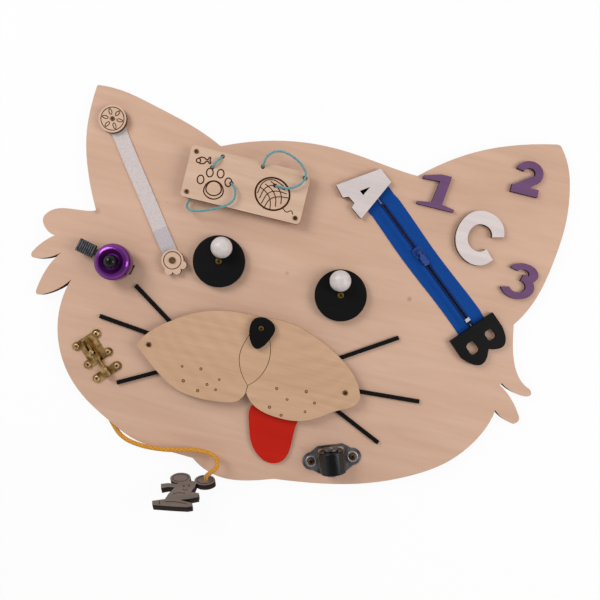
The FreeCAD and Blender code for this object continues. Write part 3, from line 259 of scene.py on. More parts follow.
def braid(name, dark, light, length, diameter, pitch):
    """Braided round cord: two sets of strands that cross on the slant, along the curve's UV."""
    mat, tree, shade = material(name, Roughness=0.8, Sheen_Weight=0.25, Sheen_Roughness=0.5)
    place = add(tree, "ShaderNodeTexCoord")
    turns = add(tree, "ShaderNodeSeparateXYZ", links={0: place.outputs["UV"]})
    along = calc(tree, "MULTIPLY", turns.outputs[0], length / pitch)
    around = calc(tree, "MULTIPLY", turns.outputs[1], 4.0)
    sets = [calc(tree, "PINGPONG", calc(tree, way, along, around), 0.5)
            for way in ("ADD", "SUBTRACT")]
    strand = calc(tree, "MULTIPLY", calc(tree, "MAXIMUM", *sets), 2.0)
    fuzz = noise(tree, place.outputs["Object"], 900.0, 3.0)
    mixed = calc(tree, "MULTIPLY", strand, fuzz)
    tree.links.new(ramp(tree, mixed, 0.18, dark, 0.58, light), shade.inputs["Base Color"])
    bump(tree, shade, strand, 0.6, diameter * 0.12)
    return mat


def weave(name, dark, light, pitch, turn, rough=0.85, sheen=0.3, pile=0.0, band=None):
    """Woven tape with ribs both ways; pile adds soft loops, a band darker stitching."""
    mat, tree, shade = material(name, Roughness=rough, Sheen_Weight=sheen, Sheen_Roughness=0.5,
                                Specular_IOR_Level=0.15)
    place = add(tree, "ShaderNodeTexCoord").outputs["Object"]
    way = turned(tree, place, (0, 0, math.radians(turn)))
    parts = add(tree, "ShaderNodeSeparateXYZ", links={0: way})
    ribs = [calc(tree, "PINGPONG", calc(tree, "MULTIPLY", parts.outputs[axis], 1.0 / pitch), 0.5)
            for axis in (0, 1)]
    cloth = calc(tree, "ADD", *ribs)
    fuzz = add(tree, "ShaderNodeTexNoise", {"Scale": 650.0, "Detail": 4.0, "Roughness": 0.7},
               {"Vector": way}).outputs[0]
    height = add(tree, "ShaderNodeMix", {0: 0.45 + pile}, {2: cloth, 3: fuzz}).outputs[0]
    paint = ramp(tree, height, 0.25, dark, 0.65, light)
    if band:
        middle, half, start = band
        off = calc(tree, "ABSOLUTE", calc(tree, "SUBTRACT", parts.outputs[1], middle), 0.0)
        near = spread(tree, off, half * 0.6, half, 1.0, 0.0)
        past = calc(tree, "GREATER_THAN", parts.outputs[0], start)
        past = spread(tree, past, 0.0, 1.0, 0.35, 0.8)
        paint = add(tree, "ShaderNodeMix", {7: linear("081B48")},
                    {0: calc(tree, "MULTIPLY", near, past), 6: paint},
                    data_type="RGBA").outputs[2]
    tree.links.new(paint, shade.inputs["Base Color"])
    bump(tree, shade, height, 0.5, pitch * 0.25)
    return mat


def ridges_painted_highlight(name, dark, worn, level):
    """Black moulding whose ridge tops, above a level, are painted light grey as painted highlight,
    broken up by noise.
    """
    mat, tree, shade = material(name, Roughness=0.4, Specular_IOR_Level=0.3)
    place = add(tree, "ShaderNodeTexCoord").outputs["Object"]
    height = add(tree, "ShaderNodeSeparateXYZ", links={0: place}).outputs[2]
    ridge = spread(tree, height, level, level + 0.2 * MM, 0.0, 1.0)
    highlight_break = spread(tree, noise(tree, place, 500.0, 3.0), 0.35, 0.6, 0.25, 1.0)
    paint = add(tree, "ShaderNodeMix", {6: linear(dark), 7: linear(worn)},
                {0: calc(tree, "MULTIPLY", ridge, highlight_break)}, data_type="RGBA")
    tree.links.new(paint.outputs[2], shade.inputs["Base Color"])
    bump(tree, shade, highlight_break, 0.1, 0.05 * MM)
    return mat


ZIP_FROM = (68.2 * MM, 102.5 * MM)
ZIP_TO = (183.6 * MM, 5.7 * MM)
ZIP_TURN = math.atan2(ZIP_TO[1] - ZIP_FROM[1], ZIP_TO[0] - ZIP_FROM[0])
ZIP_SLIDER_FROM = 62.0 * MM
# the zip's middle line and slider, along and across the zip
ZIP_ACROSS = ZIP_FROM[1] * math.cos(ZIP_TURN) - ZIP_FROM[0] * math.sin(ZIP_TURN)
ZIP_ALONG = ZIP_FROM[0] * math.cos(ZIP_TURN) + ZIP_FROM[1] * math.sin(ZIP_TURN)
PENDANT_TILT = (math.radians(-52.0), 0.0, math.radians(13.8))
STRAP_TURN = -53.3
# knots and scorch marks on the board: x, y and radius in mm, and how dark
BOARD_MARKS = ((-6.5, 12.0, 2.6, 0.22), (118.5, 16.0, 3.2, 0.30), (-206.0, 27.0, 4.5, 0.22),
               (-140.0, 52.0, 2.0, 0.10))
CORD_D = 4.3 * MM
LACE_D = 2.2 * MM
# lengths that the braid's pitch is counted over
CORD_LENGTH = 0.18
LACE_LENGTH = 0.13
# the striker's ribs carry a painted highlight in light grey above this height
RIB_TOP = 20.7 * MM
MATERIALS = {
    # birch plywood under matte varnish: pale, faint long grain
    "board_ply": sheet_wood("varnished birch plywood", "CBA48C", "D9B49C", turn=-6.0, shine=0.2,
                            marks=BOARD_MARKS, stretch=(7.0, 60.0, 60.0)),
    # plywood from a warmer sheet with faint curved grain
    "warm_ply": sheet_wood("warm birch plywood", "C29A7A", "D2AC8D", turn=-109.0,
                           stretch=(9.0, 150.0, 40.0), curl=24.0),
    # black and red paint, brushed on plywood
    "black_wood": sheet_wood("black painted plywood", "060606", "0D0C0C", "060505", "141010",
                             rough=0.5),
    "red_wood": sheet_wood("red painted plywood", "B81A0B", "C6200F", "3A120A", "6A2012",
                           rough=0.6, speck=0.06),
    "purple_wood": sheet_wood("purple painted plywood", "6A4A6C", "7A557C", "2A1A26", "4A3346",
                              rough=0.65, speck=0.12),
    "white_wood": sheet_wood("white painted plywood", "D0C5C3", "E6DAD8", "3A261A", "7A5C44",
                             rough=0.75, speck=0.10),
    "panel_ply": sheet_wood("laser-cut birch plywood", "CBA88F", "DDBDA6", "2A180E", "4E311C",
                            turn=12.0),
    "pendant_ply": sheet_wood("greyed birch plywood", "6B605A", "82756E", "180B08", "2C1712",
                              tilt=PENDANT_TILT),
    "hidden_spacer": sheet_wood("turned beech", "B08A66", "C8A27C", "A07A58", "B48E6A"),
    # turned wooden ball under satin white paint
    "white_bead": moulded("white painted wooden ball", "CCC2C0", "DFD6D4", 0.30, 0.40,
                          scale=220.0),
    "brass_screw": metal("dull brass", "4A3A1C", "7E6436", 0.42, 0.6),
    "bronze_screw": metal("dark bronze plate", "4A3422", "7A5C42", 0.45, 0.6),
    # antique plate: brown film over brass that rubbing has thinned
    "antique_brass": metal("antique brass plate", "6B4714", "D0AE78", 0.3, 0.5, scale=150.0),
    "antique_screw": metal("antique brass screws", "A07850", "F0CDA2", 0.35, 0.5, scale=400.0),
    "steel": metal("bright steel", "8C8C8E", "B4B4B6", 0.25, 0.35, brushed=8.0),
    "washer_nylon": moulded("nylon", "D6D5CF", "E2E1DC", 0.4, 0.5, IOR=1.53),
    # anodised shell: deep colour under a clear hard skin
    "bell_purple": moulded("purple anodised aluminium", "5C1270", "7A2A8C", 0.16, 0.24,
                           scale=60.0, Metallic=0.75, Coat_Weight=0.4, Coat_Roughness=0.05,
                           Coat_IOR=1.5),
    "bell_black": moulded("black ABS", "050506", "0B0B0C", 0.14, 0.22, IOR=1.5,
                          Specular_IOR_Level=0.25),
    "roller_metal": metal("gunmetal plate", "1E1C1F", "8E8C90", 0.36, 0.5, scale=75.0),
    "roller_black": moulded("black hard plastic", "050505", "0B0B0B", 0.16, 0.22, IOR=1.5,
                            Specular_IOR_Level=0.3),
    "zip_plastic": moulded("dark blue coil", "061338", "0C2152", 0.4, 0.55, IOR=1.5,
                           Specular_IOR_Level=0.25),
    "zip_blue": moulded("blue enamelled zinc", "0D2B6C", "184391", 0.3, 0.4, IOR=1.5,
                        Specular_IOR_Level=0.4),
    "zip_silver": metal("aluminium clip", "8E9094", "C0C2C6", 0.4, 0.5),
    "zip_fabric": weave("blue woven zip tape", "06306F", "0D4C9E", 1.1 * MM,
                        math.degrees(ZIP_TURN), sheen=0.0,
                        band=(ZIP_ACROSS, 3.6 * MM, ZIP_ALONG + ZIP_SLIDER_FROM)),
    "strap_fabric": weave("white hook-and-loop tape", "BBB0AE", "DBCFCC", 0.9 * MM, STRAP_TURN,
                          pile=0.3),
    # the strap's loose end, a little greyer than the rest
    "strap_lap": weave("worn hook-and-loop tape", "ABA1A4", "CBC1C4", 0.9 * MM, STRAP_TURN,
                       pile=0.3),
    "lace_fabric": braid("turquoise braided lace", "457F86", "7FB9BC", LACE_LENGTH, LACE_D,
                         2.2 * MM),
    "cord_fabric": braid("golden braided cord", "BE7C10", "EBA824", CORD_LENGTH, CORD_D,
                         4.0 * MM),
    # brown line left by the laser, without gloss
    "burnt": sheet_wood("laser-burnt line", "34190C", "4E2C18", rough=0.8, shine=0.05),
    "pore_ring": sheet_wood("lightly burnt ring", "76492F", "8A5E44", rough=0.8, shine=0.05),
    "pore_heart": sheet_wood("paler wood inside a burnt ring", "AC8664", "BC9472", rough=0.8,
                             shine=0.05),
    # dark brown painted shade for the hollow of a drive recess
    "recess": metal("shaded drive recess", "1E150C", "3A2A18", 0.5, 0.7),
    # paler grey than the roller's plate, for the rings round its screws
    "pale_ring": moulded("pale grey zinc ring", "8D8A8C", "B5B2B4", 0.3, 0.45, Metallic=0.8),
    # painted shade: dark purple-brown for the wood seen in shadow between the zip's tapes
    "zip_gap": sheet_wood("shaded wood in the zip's gap", "3A2A38", "5A4250", rough=0.8,
                          shine=0.05),
    # black ribbed striker: light grey painted on its ridge tops as painted highlight
    "striker": ridges_painted_highlight("ribbed black ABS", "0A0A0B", "5E5E62", RIB_TOP),
}

for node in frame["record"]["subparts"]:
    mesh = frame["nodes"][node["node"]].data
    mesh.materials.clear()
    finish = "striker" if node["node"] == "bell_striker" else node["material_slot"]
    mesh.materials.append(MATERIALS[finish])


# Making pieces
def deselect():
    if bpy.context.object and bpy.context.object.mode != "OBJECT":
        bpy.ops.object.mode_set(mode="OBJECT")
    bpy.ops.object.select_all(action="DESELECT")


def pick(obj):
    """Selects one object alone and makes it active."""
    deselect()
    obj.select_set(True)
    bpy.context.view_layer.objects.active = obj


def apply_place(obj):
    pick(obj)
    bpy.ops.object.transform_apply(location=True, rotation=True, scale=True)


def modify(obj, kind, **settings):
    pick(obj)
    mod = obj.modifiers.new(kind.lower(), kind)
    for key, value in settings.items():
        setattr(mod, key, value)
    bpy.ops.object.modifier_apply(modifier=mod.name)


def join(pieces):
    deselect()
    for piece in pieces:
        piece.select_set(True)
    bpy.context.view_layer.objects.active = pieces[0]
    if len(pieces) > 1:
        bpy.ops.object.join()
    return pieces[0]


def dress(obj, name, body, slot, finish=None, smooth=40.0):
    """Names a finished piece, gives it its finish and its body."""
    apply_place(obj)
    obj.name = name
    obj.data.materials.clear()
    obj.data.materials.append(MATERIALS[finish or slot])
    bpy.ops.object.shade_smooth_by_angle(angle=math.radians(smooth))
    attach(obj, body)
    return obj


def block(size, at, turn=0.0, soft=0.0):
    """A box, its edges rounded by soft."""
    deselect()
    bpy.ops.mesh.primitive_cube_add(size=1.0, location=at, rotation=(0, 0, turn), scale=size)
    obj = bpy.context.object
    apply_place(obj)
    if soft:
        modify(obj, "BEVEL", width=soft, segments=2)
    return obj


def copy_of(obj, matrix):
    twin = obj.copy()
    twin.data = obj.data.copy()
    bpy.context.scene.collection.objects.link(twin)
    twin.matrix_world = matrix @ obj.matrix_world
    return twin


def button(at, radius, height, soft=0.0, sides=32):
    """A low round disc with a rounded top edge."""
    deselect()
    bpy.ops.mesh.primitive_cylinder_add(vertices=sides, radius=radius, depth=height,
                                        location=(at[0], at[1], at[2] + height / 2))
    obj = bpy.context.object
    apply_place(obj)
    if soft:
        modify(obj, "BEVEL", width=soft, segments=2, angle_limit=math.radians(50.0),
               limit_method="ANGLE")
    return obj


def spot(at, angle, along, across):
    """A place measured along and across a direction."""
    c = math.cos(math.radians(angle))
    s = math.sin(math.radians(angle))
    return (at[0] + along * c - across * s, at[1] + along * s + across * c)


# Cords
def cord_piece(name, points, diameter, slot, body):
    """A round cord along a smooth route through given points in mm."""
    curve = bpy.data.curves.new(name, "CURVE")
    curve.dimensions = "3D"
    curve.bevel_depth = diameter / 2
    curve.bevel_resolution = 6
    curve.resolution_u = 14
    curve.use_fill_caps = True
    spline = curve.splines.new("NURBS")
    spline.points.add(len(points) - 1)
    for point, place in zip(spline.points, points):
        point.co = [v * MM for v in place] + [1.0]
    spline.order_u = 3
    spline.use_endpoint_u = True
    curve.materials.append(MATERIALS[slot])
    obj = bpy.data.objects.new(name, curve)
    bpy.context.scene.collection.objects.link(obj)
    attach(obj, body)
    return obj


MOUSE_CORD = [
    (-154.0, -161.5, 5.0),
    (-140.0, -179.0, 5.0),
    (-126.0, -186.9, 11.5),
    (-108.0, -188.6, 15.8),
    (-90.0, -187.6, 17.2),
    (-72.0, -184.5, 17.5),
    (-54.0, -179.0, 19.0),
    (-39.0, -177.5, 21.0),
    (-28.5, -180.5, 24.0),
    (-27.0, -190.5, 26.0),
    (-34.5, -198.0, 23.5),
    (-36.9, -204.4, 14.3),
    (-34.8, -212.8, 7.5),
]
LACE_LEFT = [
    (-94.5, 107.5, 15.0),
    (-94.6, 107.3, 25.0),
    (-101.9, 94.7, 25.0),
    (-102.0, 94.5, 14.6),
    (-91.5, 92.5, 15.0),
    (-80.1, 84.1, 14.6),
    (-79.9, 83.9, 25.5),
    (-73.5, 77.5, 27.0),
    (-72.5, 68.0, 26.5),
    (-80.0, 60.0, 26.0),
    (-92.0, 54.5, 25.0),
    (-105.0, 49.0, 24.0),
    (-115.5, 48.5, 22.5),
    (-120.5, 55.5, 14.0),
    (-114.0, 66.0, 14.8),
]
LACE_RIGHT = [
    (-54.0, 107.0, 15.0),
    (-54.0, 107.3, 26.0),
    (-51.5, 119.0, 28.0),
    (-41.5, 125.5, 28.0),
    (-29.0, 123.5, 28.0),
    (-17.0, 117.5, 27.5),
    (-9.5, 108.0, 27.0),
    (-13.5, 97.5, 26.5),
    (-24.0, 91.0, 26.0),
    (-37.8, 91.9, 25.5),
    (-38.0, 92.0, 15.0),
]


mouse_cord = cord_piece("golden_cord", MOUSE_CORD, CORD_D, "cord_fabric", "board")
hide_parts("mouse_cord")
lace_left = cord_piece("turquoise_lace_left", LACE_LEFT, LACE_D, "lace_fabric", "board")
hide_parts("lace_left")
lace_right = cord_piece("turquoise_lace_right", LACE_RIGHT, LACE_D, "lace_fabric", "board")
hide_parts("lace_right")


# Strap
# the disc at the strap's ear end and the pull at its foot, in mm
DISC_AT = (-210.5, 119.0)
PULL_AT = (-119.5, -3.0)
STRAP_TOP = (DISC_AT[0] * MM, DISC_AT[1] * MM)
STRAP_FOOT = (PULL_AT[0] * MM, PULL_AT[1] * MM)
STRAP_ANGLE = math.degrees(math.atan2(STRAP_FOOT[1] - STRAP_TOP[1], STRAP_FOOT[0] - STRAP_TOP[0]))
STRAP_LENGTH = math.dist(STRAP_TOP, STRAP_FOOT)
STRAP_WIDTH = 15.0 * MM
TAPE_THICK = 1.0 * MM
# how far the tapes run past the two ends
OVERRUN = 3.7 * MM
# shares of the length where the loop tape ends and its lap begins
LOOP_END = 0.79
LAP_START = 0.775
LAP_LIFT = 1.35 * MM


def tape_piece(start, end, z0, thick, sway, ripple):
    """A flat strip of tape along the strap, its edges and top a little uneven."""
    deselect()
    length = end - start
    bpy.ops.mesh.primitive_grid_add(x_subdivisions=120, y_subdivisions=10, size=1.0)
    obj = bpy.context.object
    obj.scale = (length, STRAP_WIDTH, 1.0)
    apply_place(obj)
    for vertex in obj.data.vertices:
        along = vertex.co.x + (start + end) / 2
        edge = abs(vertex.co.y) / (STRAP_WIDTH / 2)
        vertex.co.y += sway * math.sin(along * 95.0)
        vertex.co.z = ripple * (math.sin(along * 210.0) - edge ** 6)
        vertex.co.x = along
    modify(obj, "SOLIDIFY", thickness=thick - 2 * ripple, offset=-1.0)
    modify(obj, "BEVEL", width=0.2 * MM, segments=2, limit_method="ANGLE")
    obj.location = (STRAP_TOP[0], STRAP_TOP[1], z0 + thick - ripple)
    obj.rotation_euler = (0, 0, math.radians(STRAP_ANGLE))
    apply_place(obj)
    return obj


base_tape = dress(tape_piece(-OVERRUN, STRAP_LENGTH + OVERRUN, FACE, TAPE_THICK, 0.0, 0.02 * MM),
                  "hook_tape", "board", "strap_fabric")
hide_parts("strap_tape")
top_tape = dress(tape_piece(-OVERRUN, STRAP_LENGTH * LOOP_END, FACE + TAPE_THICK, TAPE_THICK,
                            0.12 * MM, 0.05 * MM), "loop_tape", "board", "strap_fabric")
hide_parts("strap")
lap_tape = dress(tape_piece(STRAP_LENGTH * LAP_START, STRAP_LENGTH + OVERRUN, FACE + LAP_LIFT,
                            TAPE_THICK, 0.12 * MM, 0.05 * MM),
                 "loop_tape_lap", "board", "strap_fabric", "strap_lap")


# Zip
ZIP_LENGTH = math.dist(ZIP_FROM, ZIP_TO)
ZIP_TAIL = 13.5 * MM
ZIP_HALF = 15.5 * MM
ZIP_RISE = 1.9 * MM
ZIP_THICK = 0.8 * MM
ZIP_INNER = 0.6 * MM
ZIP_END_MARGIN = 1.0 * MM
TOOTH_PITCH = 2.0 * MM
TOOTH_SIZE = (1.35 * MM, 1.7 * MM, 1.9 * MM)
TOOTH_MARGIN = 2.5 * MM
TOOTH_OUT = 1.4 * MM


def zip_place(obj):
    """Moves a piece made along X onto the zip's line."""
    obj.location = (ZIP_FROM[0], ZIP_FROM[1], 0.0)
    obj.rotation_euler = (0, 0, ZIP_TURN)
    apply_place(obj)
    return obj


def zip_tape_piece(side):
    """One half of the tape: woven ribs, flat outside and raised beside the teeth."""
    deselect()
    bpy.ops.mesh.primitive_grid_add(x_subdivisions=240, y_subdivisions=20, size=1.0)
    obj = bpy.context.object
    for vertex in obj.data.vertices:
        along = -ZIP_TAIL + (vertex.co.x + 0.5) * (ZIP_LENGTH + 2 * ZIP_TAIL)
        away = ZIP_INNER + (vertex.co.y + 0.5) * (ZIP_HALF - ZIP_INNER)
        # flat at both ends over 5 mm, and raised within 5 to 10.5 mm of the teeth
        ends = min(along - ZIP_END_MARGIN, ZIP_LENGTH - ZIP_END_MARGIN - along) / (5.0 * MM)
        ends = min(1.0, max(0.0, ends))
        slope = min(1.0, max(0.0, (10.5 * MM - away) / (5.5 * MM)))
        slope = slope * slope * (3 - 2 * slope)
        wave = 0.06 * MM * math.sin(along * 160.0) * ends
        sway = 0.75 * MM * math.sin(along * 47.0 + 1.2 * side) * ends * (away / ZIP_HALF) ** 2
        height = FACE + ZIP_THICK + ZIP_RISE * ends * slope + wave
        vertex.co = (along, side * (away + sway), height)
    modify(obj, "SOLIDIFY", thickness=ZIP_THICK - 0.1 * MM, offset=-1.0 if side > 0 else 1.0)
    pick(obj)
    bpy.ops.object.mode_set(mode="EDIT")
    bpy.ops.mesh.select_all(action="SELECT")
    bpy.ops.mesh.normals_make_consistent(inside=False)
    bpy.ops.object.mode_set(mode="OBJECT")
    zip_place(obj)
    name = "right" if side > 0 else "left"
    obj = dress(obj, "zip_cloth_" + name, "board", "zip_fabric")
    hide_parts("zip_tape_" + name)


for side in (-1, 1):
    zip_tape_piece(side)

tooth = block(TOOTH_SIZE, (0, 0, 0), soft=0.35 * MM)
teeth = []
count = int((ZIP_LENGTH - 5.0 * MM) / TOOTH_PITCH)
for side in (-1, 1):
    for step in range(count):
        along = TOOTH_MARGIN + step * TOOTH_PITCH + (TOOTH_PITCH / 2 if side > 0 else 0.0)
        place = (along, side * TOOTH_OUT, FACE + ZIP_RISE + 0.5 * MM)
        teeth.append(copy_of(tooth, Matrix.Translation(place)))
bpy.data.objects.remove(tooth)
teeth = join(teeth)
apply_place(teeth)
teeth = dress(zip_place(teeth), "zip_chain", "board", "zip_plastic")
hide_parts("zip_teeth")


def zip_gap_strip(name, start, end, finish):
    """A thin strip on the board in the gap between the two rows of teeth, seen as the line between
    them; the finish given sets its colour.
    """
    strip = block((end - start, 3.0 * MM, 0.16 * MM),
                  ((start + end) / 2, 0.0, FACE + 0.1 * MM), soft=0.03 * MM)
    dress(zip_place(strip), name, "board", "zip_fabric", finish)


# above the slider the strip is painted shade: dark shaded wood for the shadowed gap between the
# tapes; below it the strip has the coil's dark blue
zip_gap_strip("zip_gap_painted_shade", ZIP_END_MARGIN, ZIP_SLIDER_FROM, "zip_gap")
zip_gap_strip("zip_gap_coil_strip", ZIP_SLIDER_FROM, ZIP_LENGTH - ZIP_END_MARGIN, "zip_plastic")


# Screw recesses
def cross_recess(places, head, name, slot, turn=20.0):
    """Cross-shaped drive recesses, as dark inlays on the screw heads whose dark brown is painted
    shade of the hollow recess.
    """
    pieces = []
    for index, (x, y, top) in enumerate(places):
        angle = math.radians(turn + 37.0 * index)
        for quarter in (0.0, math.pi / 2):
            pieces.append(block((head * 0.56, head * 0.15, 0.16), (x, y, top - 0.02),
                                angle + quarter, 0.03))
    obj = join(pieces)
    obj.scale = (MM, MM, MM)
    return dress(obj, name, "board", slot, "recess")


# places of the screws, each with the height of its head's top, in mm
EYES = [(-74.5, 7.0), (50.5, 3.0)]
cross_recess([at + (19.6,) for at in EYES], 6.6, "eye_screw_recesses", "brass_screw")
cross_recess([(-17.5, -47.0, 26.8)], 5.4, "nose_screw_recess", "brass_screw", 8.0)
cross_recess([(-121.5, -89.0, 21.4), (77.5, -89.0, 21.4)], 5.0, "cheek_screw_recesses",
             "bronze_screw", 15.0)
PANEL_AT = (-66.0, 86.0)
panel_spots = [(PANEL_AT[0] + sx * 54.75, PANEL_AT[1] + sy * 20.25, 23.2)
               for sx in (-1, 1) for sy in (-1, 1)]
cross_recess(panel_spots, 4.6, "panel_screw_recesses", "bronze_screw")
cross_recess([DISC_AT + (17.6,)], 4.6, "strap_screw_recess", "bronze_screw")
LATCH_AT = (-177.0, -108.0)
LATCH_ANGLE = -43.5
latch_spots = [spot(LATCH_AT, LATCH_ANGLE, x, y) + (13.0,)
               for x in (-10.8, 10.8, 27.2) for y in (-11.7, 11.7)]
cross_recess(latch_spots, 5.6, "latch_screw_recesses", "antique_screw")
ROLLER_MID = (81.0, -157.3)
ROLLER_ANGLE = 20.4
roller_spots = [spot(ROLLER_MID, ROLLER_ANGLE, side * 20.8, 0.0) for side in (-1, 1)]
cross_recess([place + (13.3,) for place in roller_spots], 6.6, "roller_screw_recesses",
             "bronze_screw")

# rings round the roller's two screws, a paler grey than its plate
rings = []
for x, y in roller_spots:
    deselect()
    bpy.ops.mesh.primitive_torus_add(major_segments=48, minor_segments=10,
                                     major_radius=4.6 * MM, minor_radius=0.9 * MM,
                                     location=(x * MM, y * MM, 11.5 * MM))
    ring = bpy.context.object
    ring.scale = (1.0, 1.0, 0.45)
    rings.append(ring)
dress(join(rings), "roller_screw_rings", "board", "roller_metal", "pale_ring")


# Dark card that shows through the hole in the A
LETTER_A_AT = (36.2 * MM, 94.9 * MM)
LETTER_A_ANGLE = -39.5
a_card = block((9.0 * MM, 15.0 * MM, 0.6 * MM), (0.0, 0.0, 0.0), soft=0.1 * MM)
a_card.location = spot(LETTER_A_AT, LETTER_A_ANGLE, 0.5 * MM, 19.0 * MM) + (FACE + 0.35 * MM,)
a_card.rotation_euler = (0, 0, math.radians(LETTER_A_ANGLE))
dress(a_card, "letter_a_ground", "board", "black_wood")


# Burnt marks
# heights of the faces that they lie on
MUZZLE_TOP = 20.0 * MM
PANEL_TOP = 22.0 * MM
DISC_TOP = 16.4 * MM
PENDANT_THICK = 8.0 * MM


def burnt_dots(places, radius, top, name, slot, finish):
    """Round marks of slightly different sizes."""
    dots = []
    for index, (x, y) in enumerate(places):
        size = radius * (0.9 + 0.1 * (index % 3))
        at = (x * MM, y * MM, top - 0.05 * MM)
        dots.append(button(at, size, 0.12 * MM, 0.03 * MM, 20))
    return dress(join(dots), name, "board", slot, finish)


PORES = [(-84.5, -102.0), (-66.0, -100.0), (-80.0, -115.5), (-46.0, -106.0), (-56.5, -113.5),
         (-64.0, -121.5), (-47.0, -116.5), (11.0, -101.0), (40.0, -97.0), (23.5, -109.0),
         (50.5, -106.0), (8.5, -120.5), (43.5, -116.5), (21.5, -125.5)]
burnt_dots(PORES, 1.55 * MM, MUZZLE_TOP, "whisker_pores", "warm_ply", "pore_ring")
burnt_dots(PORES, 0.6 * MM, MUZZLE_TOP + 0.05 * MM, "whisker_pore_hearts", "warm_ply",
           "pore_heart")


def burnt_lines(strokes, width, top, name, slot, place=None):
    """Lines burnt by the laser: thin flat ridges that follow each stroke."""
    lines = []
    for stroke in strokes:
        curve = bpy.data.curves.new(name, "CURVE")
        curve.dimensions = "3D"
        curve.bevel_depth = width / 2
        curve.bevel_resolution = 1
        curve.resolution_u = 6
        curve.use_fill_caps = True
        closed_loop = stroke[0] == stroke[-1]
        points = stroke[:-1] if closed_loop else stroke
        spline = curve.splines.new("BEZIER")
        spline.bezier_points.add(len(points) - 1)
        for point, (x, y) in zip(spline.bezier_points, points):
            point.co = (x * MM, y * MM, 0.0)
            point.handle_left_type = "AUTO"
            point.handle_right_type = "AUTO"
        spline.use_cyclic_u = closed_loop
        obj = bpy.data.objects.new(name, curve)
        bpy.context.scene.collection.objects.link(obj)
        pick(obj)
        bpy.ops.object.convert(target="MESH")
        lines.append(bpy.context.object)
    obj = join(lines)
    obj.scale = (1.0, 1.0, 0.3)
    apply_place(obj)
    obj.location = (0, 0, top)
    apply_place(obj)
    if place:
        obj.matrix_world = place
        apply_place(obj)
    return dress(obj, name, "board", slot, "burnt")


def shape_at(points, at, size, turn=0.0):
    """Points scaled, turned and moved."""
    c = math.cos(math.radians(turn))
    s = math.sin(math.radians(turn))
    return [(at[0] + size * (x * c - y * s), at[1] + size * (x * s + y * c)) for x, y in points]


def ring_at(at, rx, ry, turn=0.0, steps=10):
    """A closed oval of a few points."""
    angles = [2 * math.pi * i / steps for i in range(steps)]
    points = [(rx * math.cos(a), ry * math.sin(a)) for a in angles]
    return shape_at(points + points[:1], at, 1.0, turn)


FISH = [(-1.0, 0.0), (-0.5, 0.42), (0.2, 0.5), (0.8, 0.12), (1.3, 0.5), (1.25, 0.0),
        (1.3, -0.5), (0.8, -0.12), (0.2, -0.5), (-0.5, -0.42), (-1.0, 0.0)]
GILL = [(-0.45, 0.38), (-0.3, 0.0), (-0.45, -0.38)]
LEAF = [(-1.0, 0.0), (-0.4, 0.45), (0.3, 0.42), (1.0, 0.0), (0.3, -0.42), (-0.4, -0.45),
        (-1.0, 0.0)]
PAD = [(-0.5, -0.35), (0.0, 0.1), (0.5, -0.35), (0.3, -0.75), (-0.3, -0.75), (-0.5, -0.35)]
TOES = ((-0.72, 0.1), (-0.28, 0.5), (0.28, 0.5), (0.72, 0.1))


def paw(at, size, turn=0.0):
    """A plain paw print: one pad and four toes."""
    marks = [shape_at(PAD, at, size, turn)]
    for middle in shape_at(TOES, at, size, turn):
        marks.append(ring_at(middle, 0.17 * size, 0.22 * size, turn))
    return marks


PAW_AT = (-96.5, 80.5)
FISH_AT = (-113.0, 99.0)
panel_art = paw(PAW_AT, 19.0, 8.0)
panel_art += paw(PAW_AT, 15.0, 8.0)[:1]
panel_art += [shape_at(stroke, FISH_AT, 6.0, 14.0) for stroke in (FISH, GILL)]
burnt_lines(panel_art, 1.3 * MM, PANEL_TOP, "panel_paw_engraving", "panel_ply")

# a ball of yarn with its loose end
YARN_AT = (-38.5, 83.5)
yarn = [ring_at(YARN_AT, 17.5, 16.0, -12.0, 14), ring_at(YARN_AT, 16.6, 15.2, -12.0, 14)]
for lean in (-9.0, -3.0, 3.0, 9.0):
    strand = [(-13.5, lean * 0.9 - 2.0), (-4.0, lean + 5.0), (5.0, lean + 4.0),
              (13.0, lean * 0.7 - 3.0)]
    yarn.append(shape_at(strand, YARN_AT, 1.0, 35.0))
for lean in (-6.0, 0.0, 6.0):
    strand = [(-12.0, lean - 2.0), (-3.0, lean + 1.5), (5.0, lean + 1.0), (12.5, lean - 3.0)]
    yarn.append(shape_at(strand, YARN_AT, 1.0, -50.0))
loose_end = [(15.0, -8.0), (20.0, -10.0), (24.0, -7.0), (26.5, -9.5)]
yarn.append(shape_at(loose_end, YARN_AT, 1.0, -12.0))
burnt_lines(yarn, 1.0 * MM, PANEL_TOP, "panel_yarn_engraving", "panel_ply")

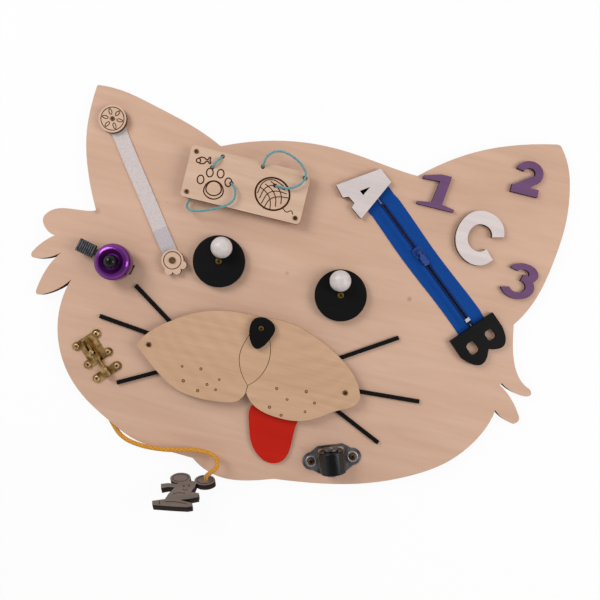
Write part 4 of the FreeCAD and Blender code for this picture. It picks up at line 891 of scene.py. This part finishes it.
disc_art = [ring_at(DISC_AT, 11.4, 11.4, steps=16)]
for turn in range(0, 360, 60):
    disc_art.append(shape_at(LEAF, spot(DISC_AT, turn, 7.4, 0.0), 2.9, turn))
burnt_lines(disc_art, 0.9 * MM, DISC_TOP, "disc_engraving", "panel_ply")
burnt_lines([ring_at(PULL_AT, 8.6, 8.6, steps=14)], 0.9 * MM, DISC_TOP, "pull_engraving",
            "panel_ply")

# the pendant's own frame starts where the cord ends
pendant_frame = Matrix.Translation(Vector(MOUSE_CORD[-1]) * MM)
pendant_frame = pendant_frame @ Euler(PENDANT_TILT).to_matrix().to_4x4()
# ears, eyes, mouth, belly and feet
mouse_art = [ring_at((-0.6, -1.0), 7.6, 4.2, steps=12),
             ring_at((-25.2, 1.6), 7.8, 4.2, steps=12),
             ring_at((-15.5, -7.5), 0.7, 0.8, steps=6),
             ring_at((-20.5, -7.8), 0.7, 0.8, steps=6),
             [(-21.0, -11.5), (-18.5, -12.7), (-16.0, -11.6)],
             [(-30.0, -17.0), (-24.0, -15.6), (-17.5, -16.4)],
             [(-36.0, -25.5), (-26.0, -25.6), (-14.5, -28.0)], [(-41.5, -24.5), (-40.5, -28.5)]]
burnt_lines(mouse_art, 0.7 * MM, PENDANT_THICK, "pendant_engraving", "pendant_ply",
            pendant_frame)


# Floor
# share of the white that the camera sees on the floor instead of its light and shadow
FLOOR_GLOW = 0.93
deselect()
bpy.ops.mesh.primitive_plane_add(size=6.0, location=(0, 0, 0))
floor = bpy.context.object
floor.name = "pale_floor"
floor_mat, tree, shade = material("white paper floor", Roughness=0.9,
                                  Base_Color=(0.88, 0.88, 0.88, 1.0))
path = add(tree, "ShaderNodeLightPath")
glow = add(tree, "ShaderNodeEmission", {"Color": (1, 1, 1, 1), "Strength": 1.0})
seen = calc(tree, "MULTIPLY", path.outputs["Is Camera Ray"], FLOOR_GLOW)
both = add(tree, "ShaderNodeMixShader", links={0: seen, 1: shade.outputs[0], 2: glow.outputs[0]})
out = tree.nodes["Material Output"]
tree.links.new(both.outputs[0], out.inputs["Surface"])
floor.data.materials.append(floor_mat)
